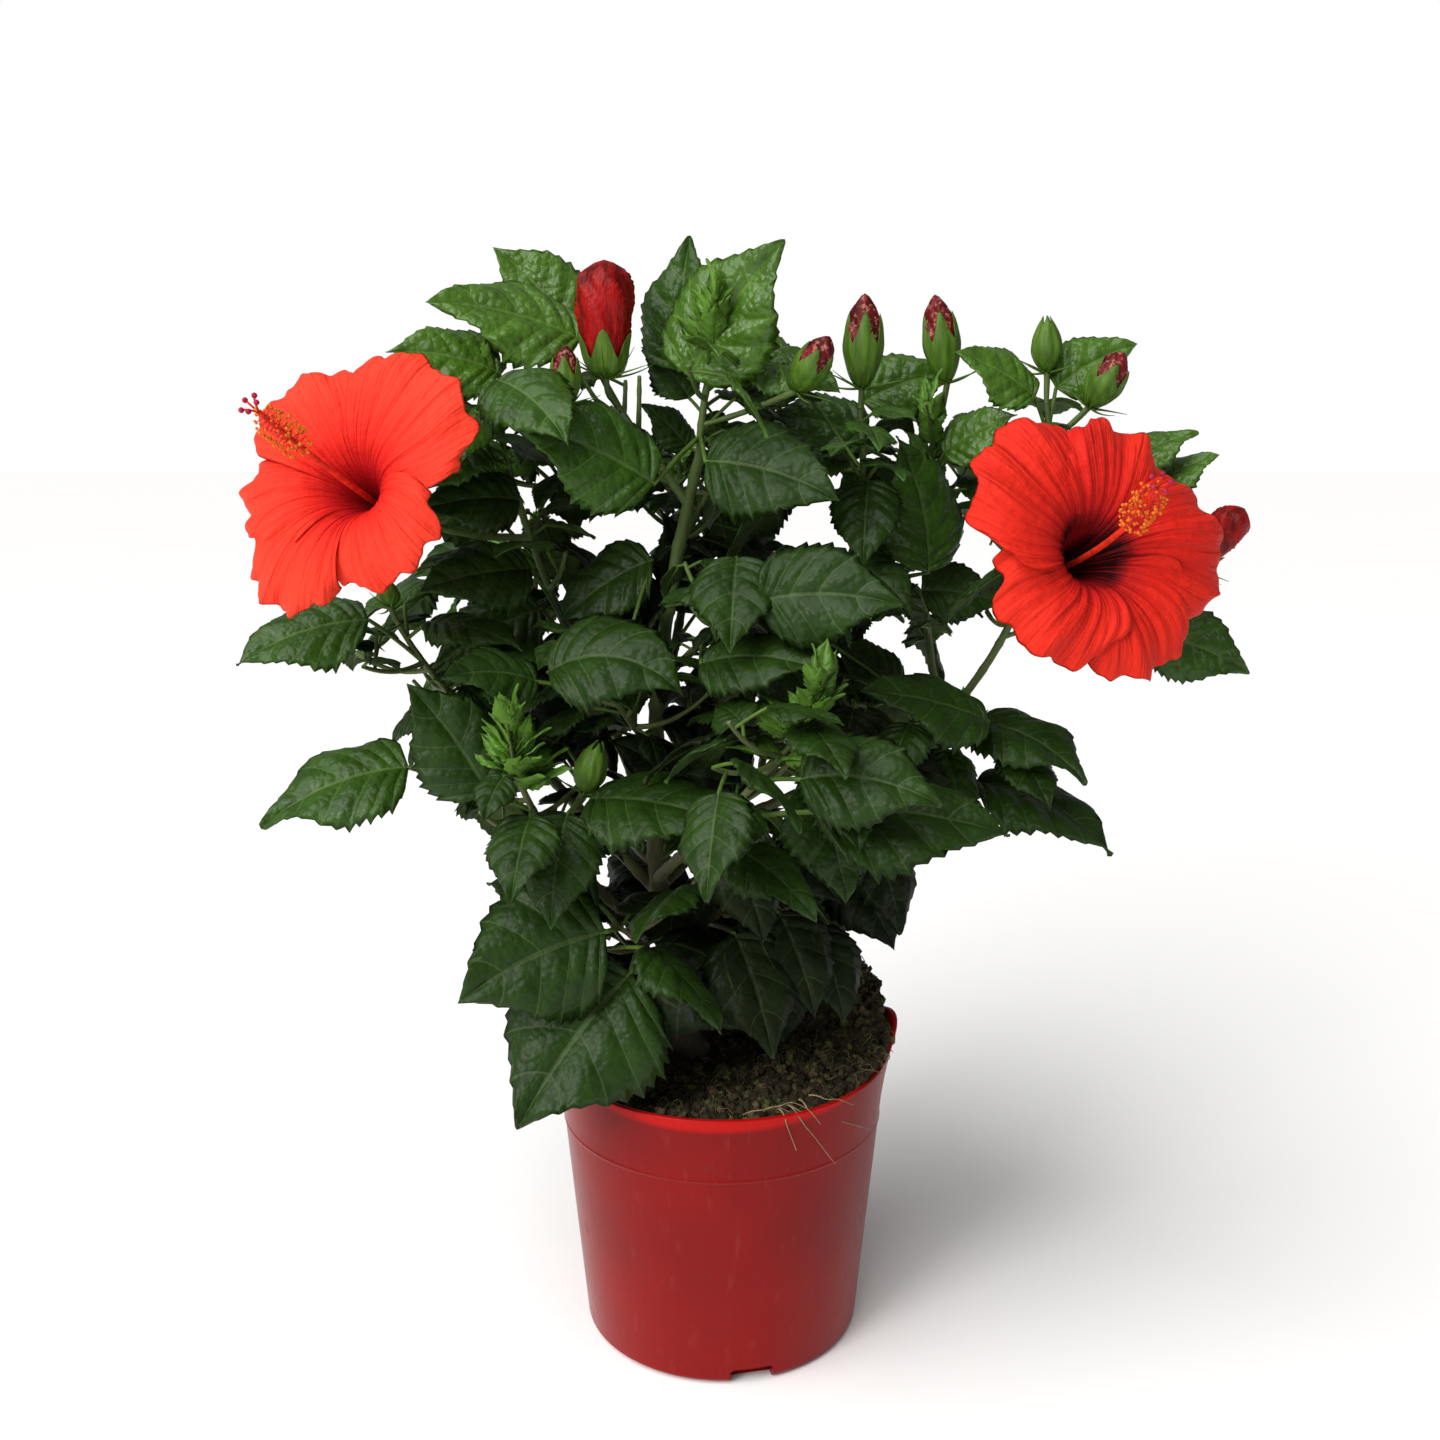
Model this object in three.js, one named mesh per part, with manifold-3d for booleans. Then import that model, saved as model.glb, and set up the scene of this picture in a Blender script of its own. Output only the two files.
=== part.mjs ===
import * as THREE from "three";
import { mergeVertices } from "three/addons/utils/BufferGeometryUtils.js";
import Module from "manifold-3d";

// A hibiscus shrub in its nursery pot. Millimetres, +Z up, the origin at the middle of the pot's underside.
// The front of the plant looks along -Y.

// Pot
const POT_HEIGHT = 122;
const RIM_RADIUS = 70;
const RIM_ROUND = 0.8;
const BASE_RADIUS = 58.6;
const WALL = 2.2;
const FLOOR = 3;
const BAND_HEIGHT = 95;
const BAND_RELIEF = 0.6;
const FOOT_ROUND = 2.5;
const POT_SEGMENTS = 32;
const NOTCHES = 3;
const NOTCH_WIDTH = 18;
const NOTCH_HEIGHT = 7;
const NOTCH_DEPTH = 8;
const FIRST_NOTCH = -78;

// Ground in the pot: level at the foot of the trunk, heaped up behind and to the right
const GAP = 0.3;
const TRUNK_FOOT = 118;
const GROUND_LEVEL = TRUNK_FOOT - GAP;
const HEAP = { x: 50, y: 26, height: 34, wideX: 26, wideY: 30 };
const GROUND_RINGS = [12, 26, 40, 51, 60];
const GROUND_SEGMENTS = 24;
const SPILL = { angle: 15, spread: 32, reach: 11, rise: 6 };
const SHOULDER = 107;
const LUMP = 1.6;
const LEVEL_REACH = 16;
const LEVEL_BLEND = 12;

// Trunk: foot, bend and tip of its curve, radius at both ends, and the flare at its foot
const TRUNK = { root: [-14, 2, TRUNK_FOOT], bend: [-44, 0, 240], tip: [-9, 0, 370], wide: 4.8, slim: 2.1 };
const FLARE = 3.4;
const FLARE_SHARE = 0.08;

// Boughs: the share of the trunk each leaves from, its bend and its tip
const BOUGH_RADII = [2.6, 1.9];
const BOUGHS = {
  bough_left_low: [0.21, [-42, -14, 184], [-59, -25, 212]],
  bough_left_far: [0.29, [-52, 10, 215], [-80, 12, 246]],
  bough_left_high: [0.4, [-42, 16, 250], [-57, 20, 283]],
  bough_front: [0.32, [-24, -28, 208], [-7, -45, 229]],
  bough_right_low: [0.37, [5, -2, 222], [53, 0, 243]],
  bough_right_high: [0.47, [30, 12, 235], [91, 10, 261]],
  bough_right_centre: [0.58, [0, 6, 265], [32, 10, 292]],
  bough_right_back: [0.51, [25, 35, 245], [92, 40, 275]],
  bough_back_left: [0.34, [-55, 40, 215], [-78, 65, 255]],
  bough_back: [0.55, [-25, 40, 265], [-18, 70, 300]],
  bough_back_right: [0.3, [5, 40, 215], [38, 78, 245]],
};

// Masses of leaves: the bough, or the share of the trunk, that the stem grows from, its bend and tip,
// the seed, the twigs, the leaves that follow the rule, and the middle and half sizes of the mass's room
const STEM_RADII = [1.8, 1.1];
const TWIG_RADII = [1.2, 0.8];
const FLOWER_STALK_RADII = [1.5, 1.5];
const MASSES = {
  leaves_left_low: ["bough_left_low", [-72, -42, 230], [-78, -60, 262], 11, 2, 5, [-85, -40, 240], [75, 60, 55]],
  leaves_left_far: ["bough_left_far", [-116, 5, 272], [-128, -10, 305], 12, 2, 6, [-120, 10, 290], [70, 60, 60]],
  leaves_left_high: ["bough_left_high", [-79, 15, 328], [-90, 0, 391], 13, 3, 7, [-90, 15, 350], [60, 65, 65]],
  leaves_front: ["bough_front", [7, -62, 247], [35, -70, 281], 14, 2, 5, [10, -75, 250], [75, 65, 60]],
  leaves_right_low: ["bough_right_low", [77, 0, 254], [98, 0, 258], 35, 2, 6, [80, -5, 250], [80, 60, 50]],
  leaves_right_high: ["bough_right_high", [140, 5, 320], [128, 5, 391], 16, 3, 7, [125, 15, 340], [70, 60, 80]],
  leaves_right_centre: ["bough_right_centre", [62, 5, 325], [54, 0, 389], 17, 2, 6, [45, 5, 345], [60, 60, 60]],
  leaves_right_back: ["bough_right_back", [83, 45, 320], [88, 25, 378], 18, 3, 7, [95, 55, 330], [70, 60, 75]],
  leaves_top: [1.0, [-8, 0, 392], [-3, -10, 411], 19, 1, 3, [-5, 0, 400], [90, 60, 55]],
  leaves_top_left: [0.93, [-34, 2, 380], [-44, -8, 395], 20, 1, 2, [-55, -5, 400], [70, 60, 55]],
  skirt_left: [0.11, [-31, -25, 180], [-42, -45, 192], 21, 0, 3, [-50, -35, 170], [75, 80, 55]],
  skirt_right: [0.16, [3, 5, 190], [33, 5, 203], 22, 2, 6, [20, 10, 175], [75, 80, 55]],
  heart_left: [0.53, [-36, -25, 270], [-46, -45, 289], 23, 2, 12, [-45, -20, 275], [70, 60, 70]],
  heart_right: [0.65, [-7, -25, 301], [8, -45, 320], 24, 2, 12, [15, -15, 300], [70, 60, 70]],
  heart_low: [0.25, [-10, -14, 192], [5, -24, 213], 28, 2, 12, [-5, 15, 220], [75, 60, 60]],
  heart_high: [0.8, [-15, 18, 345], [5, 22, 370], 29, 2, 12, [0, 15, 360], [75, 50, 60]],
  leaves_back_left: ["bough_back_left", [-90, 85, 280], [-85, 95, 320], 25, 3, 9, [-85, 85, 285], [75, 75, 85]],
  leaves_back: ["bough_back", [-15, 85, 325], [-20, 85, 370], 26, 3, 9, [-15, 85, 335], [70, 75, 80]],
  leaves_back_right: ["bough_back_right", [60, 100, 270], [75, 100, 310], 27, 3, 9, [65, 95, 270], [80, 75, 85]],
};

// Leaves that stand where the plant shows them: share of the stem, heading, pitch and length of the stalk,
// then heading, pitch, length, bend and roll of the blade, in degrees and millimetres
const PLACED = {
  leaves_left_far: [[0.75, 220, 40, 30, 195, 0, 54, 35, 35]],
  leaves_left_low: [
    [0.6, 180, 20, 50, 195, 0, 60, 40, 30],
    [0.6, 210, 25, 20, 175, 65, 52, 20, 65],
    [0.1, 300, 50, 37, 335, 10, 66, 30, -20],
  ],
  skirt_left: [
    [0.9, 275, 15, 15, 200, -5, 62, 30, 65],
    [0.6, 285, -10, 23, 215, -35, 73, 20, 40],
    [0.5, 275, 10, 17, 335, -15, 51, 25, -45],
    [0.9, 225, 50, 16, 165, -10, 60, 30, 50],
  ],
  skirt_right: [
    [0.3, 285, 15, 45, 305, -45, 52, 30, -10],
    [0.5, 300, 10, 37, 310, -45, 45, 30, -20],
    [0.8, 355, 10, 27, 350, -40, 45, 30, -60],
    [0.95, 350, 20, 34, 330, -55, 42, 30, -30],
  ],
  leaves_front: [
    [0.15, 325, 15, 45, 0, 5, 73, 25, -30],
    [0.55, 295, 15, 35, 345, 15, 52, 45, -50],
    [0.1, 280, 5, 30, 330, -15, 45, 35, -10],
  ],
  leaves_right_low: [
    [0.9, 5, -60, 22, 340, 0, 64, 50, -15],
    [0.95, 0, 35, 10, 320, 5, 55, 50, -15],
    [0.6, 320, 25, 35, 195, 25, 57, 20, 30],
  ],
  heart_left: [
    [0.9, 210, 20, 25, 345, 35, 58, 85, -45],
    [0.4, 85, 65, 63, 225, -45, 46, 25, 50],
    [0.8, 200, 15, 30, 215, 25, 40, 35, 40],
    [0.8, 65, 55, 60, 180, -20, 47, 30, 50],
    [0.5, 60, 35, 62, 160, 85, 46, 30, 30],
  ],
  heart_low: [
    [0.9, 195, 70, 28, 180, 50, 47, 30, 40],
    [0.9, 0, 85, 28, 165, 85, 43, 30, 35],
    [0.3, 85, 5, 26, 180, -10, 49, 30, 40],
    [0.9, 5, 20, 19, 10, -25, 39, 30, -50],
  ],
  heart_high: [[0.5, 30, -15, 33, 180, 80, 33, 30, 55]],
  heart_right: [
    [0.5, 270, -10, 25, 335, 20, 52, 40, -30],
    [0.9, 300, 15, 17, 345, 15, 54, 30, -70],
    [0.7, 315, 70, 28, 265, -30, 45, 30, 0],
  ],
  leaves_left_high: [
    [0.2, 245, 45, 35, 210, 5, 48, 25, 45],
    [0.85, 275, 65, 33, 195, 25, 44, 30, 55],
    [0.95, 280, 25, 35, 315, -10, 48, 40, -30],
    [0.5, 260, 50, 28, 205, 10, 42, 30, 50],
    [0.05, 215, 50, 28, 200, -15, 50, 20, 50],
  ],
  leaves_top: [
    [0.2, 235, -30, 35, 200, 35, 60, 25, 65],
    [0.2, 275, -20, 26, 340, 0, 56, 30, -60],
    [0.7, 205, 10, 8, 340, 60, 63, 15, -85],
    [0.6, 15, 35, 20, 345, 0, 40, 35, -40],
    [0.85, 135, -5, 18, 45, 90, 52, 15, -20],
    [0.4, 115, 25, 14, 165, 60, 29, 30, 45],
  ],
  leaves_top_left: [
    [0.9, 160, 60, 27, 195, 25, 61, 25, 45],
    [0.7, 130, 45, 48, 170, 55, 48, 20, 70],
  ],
  leaves_right_centre: [
    [0.8, 150, 50, 50, 180, 30, 40, 20, 60],
    [0.7, 85, 60, 44, 10, 30, 42, 25, -60],
    [0.5, 290, 65, 32, 260, -45, 38, 30, 0],
    [0.35, 155, -40, 35, 155, 60, 46, 20, 50],
    [0.5, 40, 10, 11, 170, 85, 41, 30, 45],
    [0.3, 355, 15, 38, 185, 90, 57, 30, 65],
    [0.1, 15, -35, 47, 180, 50, 37, 30, 50],
  ],
  leaves_right_back: [
    [0.3, 255, 30, 23, 5, 5, 37, 30, -65],
    [0.85, 185, 80, 30, 140, 45, 30, 20, 60],
    [0.75, 280, 50, 28, 335, 40, 34, 25, -60],
  ],
  leaves_right_high: [
    [0.9, 205, 65, 18, 190, 40, 38, 25, 55],
    [0.93, 30, 80, 16, 10, 40, 38, 25, -60],
    [0.35, 0, -5, 56, 345, -5, 44, 30, -70],
    [0.7, 5, 30, 36, 0, 35, 32, 25, -30],
    [0.6, 5, 25, 50, 0, 40, 30, 25, -30],
  ],
};

// Buds: share of the stem, heading, pitch and length of the stalk, heading, pitch, length and width of the bud
const BUDS = {
  leaves_top_left: [
    [1.0, 230, 80, 6, 95, 85, 44, 22, "furled"],
    [0.8, 190, 15, 20, 90, 85, 22, 11, "opening"],
  ],
  leaves_top: [[0.3, 335, 18, 42, 330, 55, 24, 13, "opening"]],
  leaves_right_centre: [[1.0, 60, 80, 8, 60, 88, 36, 15, "opening"]],
  leaves_right_back: [[1.0, 300, 75, 22, 165, 80, 35, 14, "opening"]],
  leaves_right_high: [
    [1.0, 90, 85, 12, 120, 85, 22, 11, "green"],
    [0.9, 330, 40, 20, 345, 60, 24, 14, "opening"],
    [0.3, 350, 23, 78, 350, 50, 30, 15, "furled"],
  ],
  leaves_left_low: [[0.3, 330, 55, 26, 340, 70, 22, 12, "green"]],
  leaves_left_far: [[1.0, 150, 60, 8, 120, 60, 12, 8, "green"]],
};

// Young leaves at the ends of the stems: how many, and the length of the longest
const TUFTS = {
  leaves_left_low: [5, 24],
  leaves_front: [5, 22],
  leaves_top: [5, 24],
  leaves_right_back: [3, 20],
  leaves_right_low: [3, 17],
  leaves_back: [3, 24],
  leaves_back_left: [3, 24],
  leaves_back_right: [3, 24],
  leaves_left_high: [3, 22],
};

// Open flowers: the mass and the share of its stem they leave, the throat, and heading and pitch of the axis
const FLOWERS = {
  flower_left: ["leaves_left_high", 0.55, [-132, -50, 360], 255, 22],
  flower_right: ["leaves_right_high", 0.4, [129, -60, 336], 292, 20],
};
const CALYX_LENGTH = 24;

// Where the sky shows through or beside the crown from in front: x, z and radius on the plane y = 0
const EYE = [-1, -600, 392];
const SKY = [
  [-38, 338, 9], [-15, 306, 3], [40, 341, 9], [95, 336, 9], [65, 298, 6], [107, 291, 12], [-20, 387, 10],
  [-59, 160, 5], [-161, 258, 22], [-122, 293, 4], [-141, 273, 10], [-128, 208, 18], [-112, 190, 12],
  [-108, 214, 6], [-124, 147, 17], [130, 277, 10], [117, 273, 6], [117, 187, 21], [-86, 419, 4],
];

// Leaf blade: width as a share of length, where it is widest, how thick, and how its halves fold and droop
const BLADE_WIDTH = 0.72;
const BLADE_ROOT_POWER = 0.5;
const BLADE_TIP_POWER = 1.02;
const BLADE_THICK = 1.5;
const BLADE_SPREAD = 0.95;
const BLADE_FOLD = 0.3;
const BLADE_DROOP = 1.2;
const EDGE_SHARES = [0.11, 0.38, 0.74];
const RIB_SHARE = 0.45;
const STALK_RADIUS = 0.95;
const YOUNG_EDGE_SHARES = [0.36];
const YOUNG_STALK_RADIUS = 0.6;
const LEAF_CLEARANCE = 6.5;
const STALK_CLEARANCE = 4.5;
const TWIG_CLEARANCE = 6.0;
const LEAF_TRIES = 60;
const TWIG_TRIES = 12;

const radians = THREE.MathUtils.degToRad;
const V = (point) => new THREE.Vector3(...point);
const plus = (a, b, k = 1) => a.clone().addScaledVector(b, k);
const minus = (a, b) => a.clone().sub(b);
const mixed = (a, b, t) => plus(a, minus(b, a), t);

// The direction with a compass heading (from +X towards +Y) and a pitch above level.
function toward(heading, pitch) {
  const h = radians(heading);
  const p = radians(pitch);
  return new THREE.Vector3(Math.cos(h) * Math.cos(p), Math.sin(h) * Math.cos(p), Math.sin(p));
}

function limbOf(root, bend, tip, wide, slim) {
  return { curve: new THREE.QuadraticBezierCurve3(root, bend, tip), wide, slim };
}

function onLimb(limb, t) {
  const { v0, v1, v2 } = limb.curve;
  const point = v0.clone().multiplyScalar((1 - t) ** 2);
  return point.addScaledVector(v1, 2 * t * (1 - t)).addScaledVector(v2, t * t);
}

function limbSamples(limb) {
  let length = 0;
  for (let i = 0; i < 20; i += 1) length += minus(onLimb(limb, (i + 1) / 20), onLimb(limb, i / 20)).length();
  const count = Math.max(3, Math.floor(length / 6));
  return Array.from({ length: count + 1 }, (_, i) => onLimb(limb, i / count));
}

// Seeded chance, so that every run grows the same plant.
function chance(seed) {
  let state = (seed * 7919) % 4294967296;
  const next = () => {
    state = (state * 1664525 + 1013904223) % 4294967296;
    return state / 4294967296;
  };
  return { next, spread: (amount) => (2 * next() - 1) * amount };
}

// Half the blade's width at share s of its length, as a share of the length.
function halfWidth(s) {
  if (s <= 0 || s >= 1) return 0;
  const widest = BLADE_ROOT_POWER / (BLADE_ROOT_POWER + BLADE_TIP_POWER);
  const taper = ((1 - s) / (1 - widest)) ** BLADE_TIP_POWER;
  return 0.5 * BLADE_WIDTH * (s / widest) ** BLADE_ROOT_POWER * taper;
}

function makeLeaf(node, stalkHeading, stalkPitch, stalk, heading, pitch, blade, bend, roll) {
  const base = plus(node, toward(stalkHeading, stalkPitch), stalk);
  return { node, base, stalk, heading, pitch, blade, bend, roll };
}

// The point at share s of the midrib and t of the half width, from -1 to 1, lifted off the upper face.
function leafPoint(leaf, s, t, lift = 0) {
  const h = radians(leaf.heading);
  const p = radians(leaf.pitch);
  const k = radians(leaf.bend);
  const out = (leaf.blade / k) * (Math.sin(p) - Math.sin(p - k * s));
  const up = (leaf.blade / k) * (Math.cos(p - k * s) - Math.cos(p));
  const rib = leaf.base.clone().add(new THREE.Vector3(Math.cos(h) * out, Math.sin(h) * out, up));
  const cosine = Math.cos(p - k * s);
  const ahead = new THREE.Vector3(Math.cos(h) * cosine, Math.sin(h) * cosine, Math.sin(p - k * s));
  const side = new THREE.Vector3(Math.sin(h), -Math.cos(h), 0);
  const above = side.clone().cross(ahead);
  const r = radians(leaf.roll);
  const right = side.clone().multiplyScalar(Math.cos(r)).addScaledVector(above, Math.sin(r));
  const face = above.multiplyScalar(Math.cos(r)).addScaledVector(side, -Math.sin(r));
  const w = halfWidth(s) * leaf.blade * t;
  const rise = BLADE_FOLD * Math.abs(w) - (BLADE_DROOP * w * w) / leaf.blade;
  return rib.addScaledVector(right, w * BLADE_SPREAD).addScaledVector(face, rise + lift);
}

function bladeSamples(leaf) {
  const points = [];
  for (const s of [0.06, 0.18, 0.3, 0.42, 0.54, 0.66, 0.78, 0.9])
    for (const t of [-0.92, -0.46, 0, 0.46, 0.92]) points.push(leafPoint(leaf, s, t));
  points.push(leafPoint(leaf, 1, 0));
  return points;
}

function stalkSamples(leaf) {
  const count = Math.max(3, Math.floor(leaf.stalk / 6));
  const along = minus(leaf.base, leaf.node);
  return Array.from({ length: count }, (_, i) => plus(leaf.node, along, (i + 1) / count));
}

// Everything that has grown so far, so that nothing new grows into it.
class Clearing {
  points = [];
  add(points, owner) {
    for (const p of points) this.points.push({ x: p.x, y: p.y, z: p.z, owner });
  }
  free(points, gap, own = null) {
    const box = new THREE.Box3().setFromPoints(points).expandByScalar(gap);
    const { min, max } = box;
    const near = this.points.filter(
      (q) =>
        q.x > min.x && q.x < max.x && q.y > min.y && q.y < max.y && q.z > min.z && q.z < max.z &&
        q.owner !== own,
    );
    return points.every((p) =>
      near.every((q) => (p.x - q.x) ** 2 + (p.y - q.y) ** 2 + (p.z - q.z) ** 2 >= gap * gap),
    );
  }
}

// True when a point hides one of the openings from the eye.
function inSky(p, margin) {
  const k = -EYE[1] / (p.y - EYE[1]);
  const x = EYE[0] + (p.x - EYE[0]) * k;
  const z = EYE[2] + (p.z - EYE[2]) * k;
  return SKY.some(([a, b, r]) => (x - a) ** 2 + (z - b) ** 2 < (r + margin) ** 2);
}

function groundHeight(x, y) {
  const bump = -(((x - HEAP.x) / HEAP.wideX) ** 2) - ((y - HEAP.y) / HEAP.wideY) ** 2;
  return GROUND_LEVEL + HEAP.height * Math.exp(bump);
}

// True when a point is clear of the pot and the ground in it.
function overPot(p) {
  if (Math.hypot(p.x, p.y) > RIM_RADIUS + 8) return true;
  return p.z > POT_HEIGHT + 7 && p.z > groundHeight(p.x, p.y) + 6;
}

function inRoom(p, middle, half) {
  return ((p.x - middle[0]) / half[0]) ** 2 + ((p.y - middle[1]) / half[1]) ** 2
    + ((p.z - middle[2]) / half[2]) ** 2 < 1;
}

const trunk = limbOf(V(TRUNK.root), V(TRUNK.bend), V(TRUNK.tip), TRUNK.wide, TRUNK.slim);
const boughs = {};
const masses = {};
const flowers = {};

// The flower's stalk, and points over its open disc that the leaves keep clear of.
function placeFlower(mass, share, throatAt, heading, pitch) {
  const throat = V(throatAt);
  const axis = toward(heading, pitch);
  const calyx = plus(throat, axis, -CALYX_LENGTH);
  const node = onLimb(masses[mass].stem, share);
  const bend = plus(plus(calyx, axis, -25), minus(node, calyx), 0.35);
  const side = new THREE.Vector3(0, 0, 1).cross(axis).normalize();
  const up = axis.clone().cross(side);
  const disc = [];
  for (let ring = 1; ring <= 5; ring += 1)
    for (let i = 0; i < 6 * ring; i += 1) {
      const angle = (2 * Math.PI * i) / (6 * ring);
      const radius = 9.6 * ring;
      const rise = 2 + 9 * Math.min(1, radius / 30);
      const middle = plus(throat, axis, rise);
      disc.push(plus(plus(middle, side, radius * Math.cos(angle)), up, radius * Math.sin(angle)));
    }
  for (let i = -4; i < 10; i += 1) disc.push(plus(throat, axis, 6 * i));
  return { stalk: limbOf(node, bend, calyx, ...FLOWER_STALK_RADII), throat, axis, side, up, disc };
}

function growTuft(mass, seed, count, size) {
  const luck = chance(seed + 50);
  const turn = 360 * luck.next();
  for (let k = 0; k < count; k += 1) {
    const heading = turn + 137.5 * k;
    const pitch = 35 + luck.spread(15) + (30 * k) / count;
    const node = onLimb(mass.stem, 1 - 0.04 * (count - 1 - k));
    const blade = size * (1 - (0.5 * k) / count);
    mass.tuft.push(makeLeaf(node, heading, pitch, 4 + 0.1 * size, heading, pitch, blade, 20, 0));
  }
}

function growTwigs(clearing, name, mass, seed, count, middle, half) {
  const luck = chance(seed);
  const turn = 360 * luck.next();
  for (let k = 0; k < count; k += 1) {
    const share = 0.25 + (0.6 * (k + 0.5)) / count;
    for (let attempt = 0; attempt < TWIG_TRIES; attempt += 1) {
      const heading = turn + 144 * k + luck.spread(60);
      const pitch = 25 + luck.spread(25);
      const reach = 26 + 16 * luck.next();
      const node = onLimb(mass.stem, share);
      const tip = plus(node, toward(heading, pitch), reach);
      const bend = plus(node, toward(heading, pitch - 15), reach * 0.5);
      bend.z -= 2;
      const twig = limbOf(node, bend, tip, ...TWIG_RADII);
      const path = limbSamples(twig).slice(1);
      const open = path.every((q) => inRoom(q, middle, half) && !inSky(q, 1.5));
      if (open && clearing.free(path, TWIG_CLEARANCE, name)) {
        mass.twigs.push(twig);
        clearing.add(path, name);
        break;
      }
    }
  }
}

function growLeaves(clearing, name, mass, seed, count, middle, half) {
  const luck = chance(seed + 100);
  const turn = 360 * luck.next();
  const onTwigs = 2 * mass.twigs.length;
  for (let k = 0; k < count + onTwigs; k += 1) {
    const onTwig = k < onTwigs;
    const limb = onTwig ? mass.twigs[Math.floor(k / 2)] : mass.stem;
    for (let attempt = 0; attempt < LEAF_TRIES; attempt += 1) {
      const share = onTwig ? 0.55 + 0.45 * luck.next() : 0.1 + 0.88 * luck.next();
      const node = onLimb(limb, share);
      const heading = turn + 144 * k + luck.spread(70);
      const pitch = luck.spread(38) - 18;
      const size = 46 + 22 * luck.next() - 0.35 * attempt;
      const stalkHeading = heading + luck.spread(20);
      const stalk = size * (0.25 + 0.35 * luck.next());
      const bend = 25 + 20 * luck.next();
      const roll = luck.spread(35);
      const leaf = makeLeaf(node, stalkHeading, pitch + 30, stalk, heading, pitch, size, bend, roll);
      const blade = bladeSamples(leaf);
      const foot = stalkSamples(leaf);
      if (!blade.every((q) => inRoom(q, middle, half))) continue;
      if ([...blade, ...foot].some((q) => inSky(q, 2) || !overPot(q))) continue;
      if (!clearing.free(blade, LEAF_CLEARANCE)) continue;
      if (!clearing.free(foot.slice(1), STALK_CLEARANCE, name)) continue;
      mass.leaves.push(leaf);
      clearing.add(blade, name + "/" + mass.leaves.length);
      clearing.add(foot.slice(1), name + "/stalk");
      break;
    }
  }
}

function grow() {
  const clearing = new Clearing();
  clearing.add(limbSamples(trunk), "trunk");
  for (const [name, [share, bend, tip]] of Object.entries(BOUGHS)) {
    boughs[name] = limbOf(onLimb(trunk, share), V(bend), V(tip), ...BOUGH_RADII);
    clearing.add(limbSamples(boughs[name]).slice(1), name);
  }
  for (const [name, [from, bend, tip]] of Object.entries(MASSES)) {
    const root = typeof from === "string" ? V(BOUGHS[from][2]) : onLimb(trunk, from);
    const stem = limbOf(root, V(bend), V(tip), ...STEM_RADII);
    masses[name] = { stem, twigs: [], leaves: [], tuft: [], buds: [] };
    clearing.add(limbSamples(masses[name].stem).slice(2), name);
  }
  for (const [name, row] of Object.entries(FLOWERS)) {
    flowers[name] = placeFlower(...row);
    clearing.add(flowers[name].disc, name);
    clearing.add(limbSamples(flowers[name].stalk).slice(1), name);
  }
  for (const [name, rows] of Object.entries(BUDS))
    for (const [share, stalkHeading, stalkPitch, stalk, heading, pitch, long, wide, kind] of rows) {
      const node = onLimb(masses[name].stem, share);
      const base = plus(node, toward(stalkHeading, stalkPitch), stalk);
      const along = toward(heading, pitch);
      masses[name].buds.push({ node, base, along, long, wide, kind });
      clearing.add([0, 1, 2, 3, 4].map((i) => plus(base, along, (long * i) / 4)), name + "/bud");
    }
  for (const [name, [count, size]] of Object.entries(TUFTS)) {
    growTuft(masses[name], MASSES[name][3], count, size);
    for (const leaf of masses[name].tuft) clearing.add(bladeSamples(leaf), name + "/tuft");
  }
  for (const [name, rows] of Object.entries(PLACED))
    for (const [share, ...shape] of rows) {
      const leaf = makeLeaf(onLimb(masses[name].stem, share), ...shape);
      masses[name].leaves.push(leaf);
      clearing.add(bladeSamples(leaf), name + "/" + masses[name].leaves.length);
      clearing.add(stalkSamples(leaf).slice(1), name + "/stalk");
    }
  for (const [name, [, , , seed, twigs, , middle, half]] of Object.entries(MASSES))
    growTwigs(clearing, name, masses[name], seed, twigs, middle, half);
  for (const [name, [, , , seed, , leaves, middle, half]] of Object.entries(MASSES))
    growLeaves(clearing, name, masses[name], seed, leaves, middle, half);
}

grow();

const wasm = await Module();
wasm.setup();

function solid(geometry) {
  const bare = geometry.clone();
  bare.deleteAttribute("normal");
  bare.deleteAttribute("uv");
  const merged = mergeVertices(bare, 1e-4);
  return new wasm.Manifold(
    new wasm.Mesh({
      numProp: 3,
      vertProperties: merged.attributes.position.array,
      triVerts: new Uint32Array(merged.index.array),
    }),
  );
}

// The largest body of a join, with any hollow that joining sealed left filled and loose scraps dropped.
function wholeBody(joined) {
  const bodies = joined.decompose();
  return bodies.reduce((best, body) => (body.volume() > best.volume() ? body : best));
}

function geometryOf(body) {
  const mesh = body.getMesh();
  const geometry = new THREE.BufferGeometry();
  geometry.setAttribute("position", new THREE.BufferAttribute(new Float32Array(mesh.vertProperties), 3));
  geometry.setIndex(new THREE.BufferAttribute(new Uint32Array(mesh.triVerts), 1));
  geometry.computeVertexNormals();
  return geometry;
}

// A tapering limb: a cylinder whose rings are moved onto the curve. It covers shares from start to end.
function limbBody(limb, sides, segments, { start = 0, end = 1, swell = 0, flare = 0 } = {}) {
  const geometry = new THREE.CylinderGeometry(1, 1, 1, sides, segments);
  const frames = limb.curve.computeFrenetFrames(segments);
  const at = geometry.attributes.position;
  for (let i = 0; i < at.count; i += 1) {
    const ring = Math.round((at.getY(i) + 0.5) * segments);
    const t = start + ((end - start) * ring) / segments;
    const foot = flare * Math.exp(-t / FLARE_SHARE);
    const radius = limb.wide + (limb.slim - limb.wide) * t + swell + foot;
    const point = onLimb(limb, t);
    point.addScaledVector(frames.normals[ring], at.getX(i) * radius);
    point.addScaledVector(frames.binormals[ring], -at.getZ(i) * radius);
    at.setXYZ(i, point.x, point.y, point.z);
  }
  return solid(geometry);
}

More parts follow.
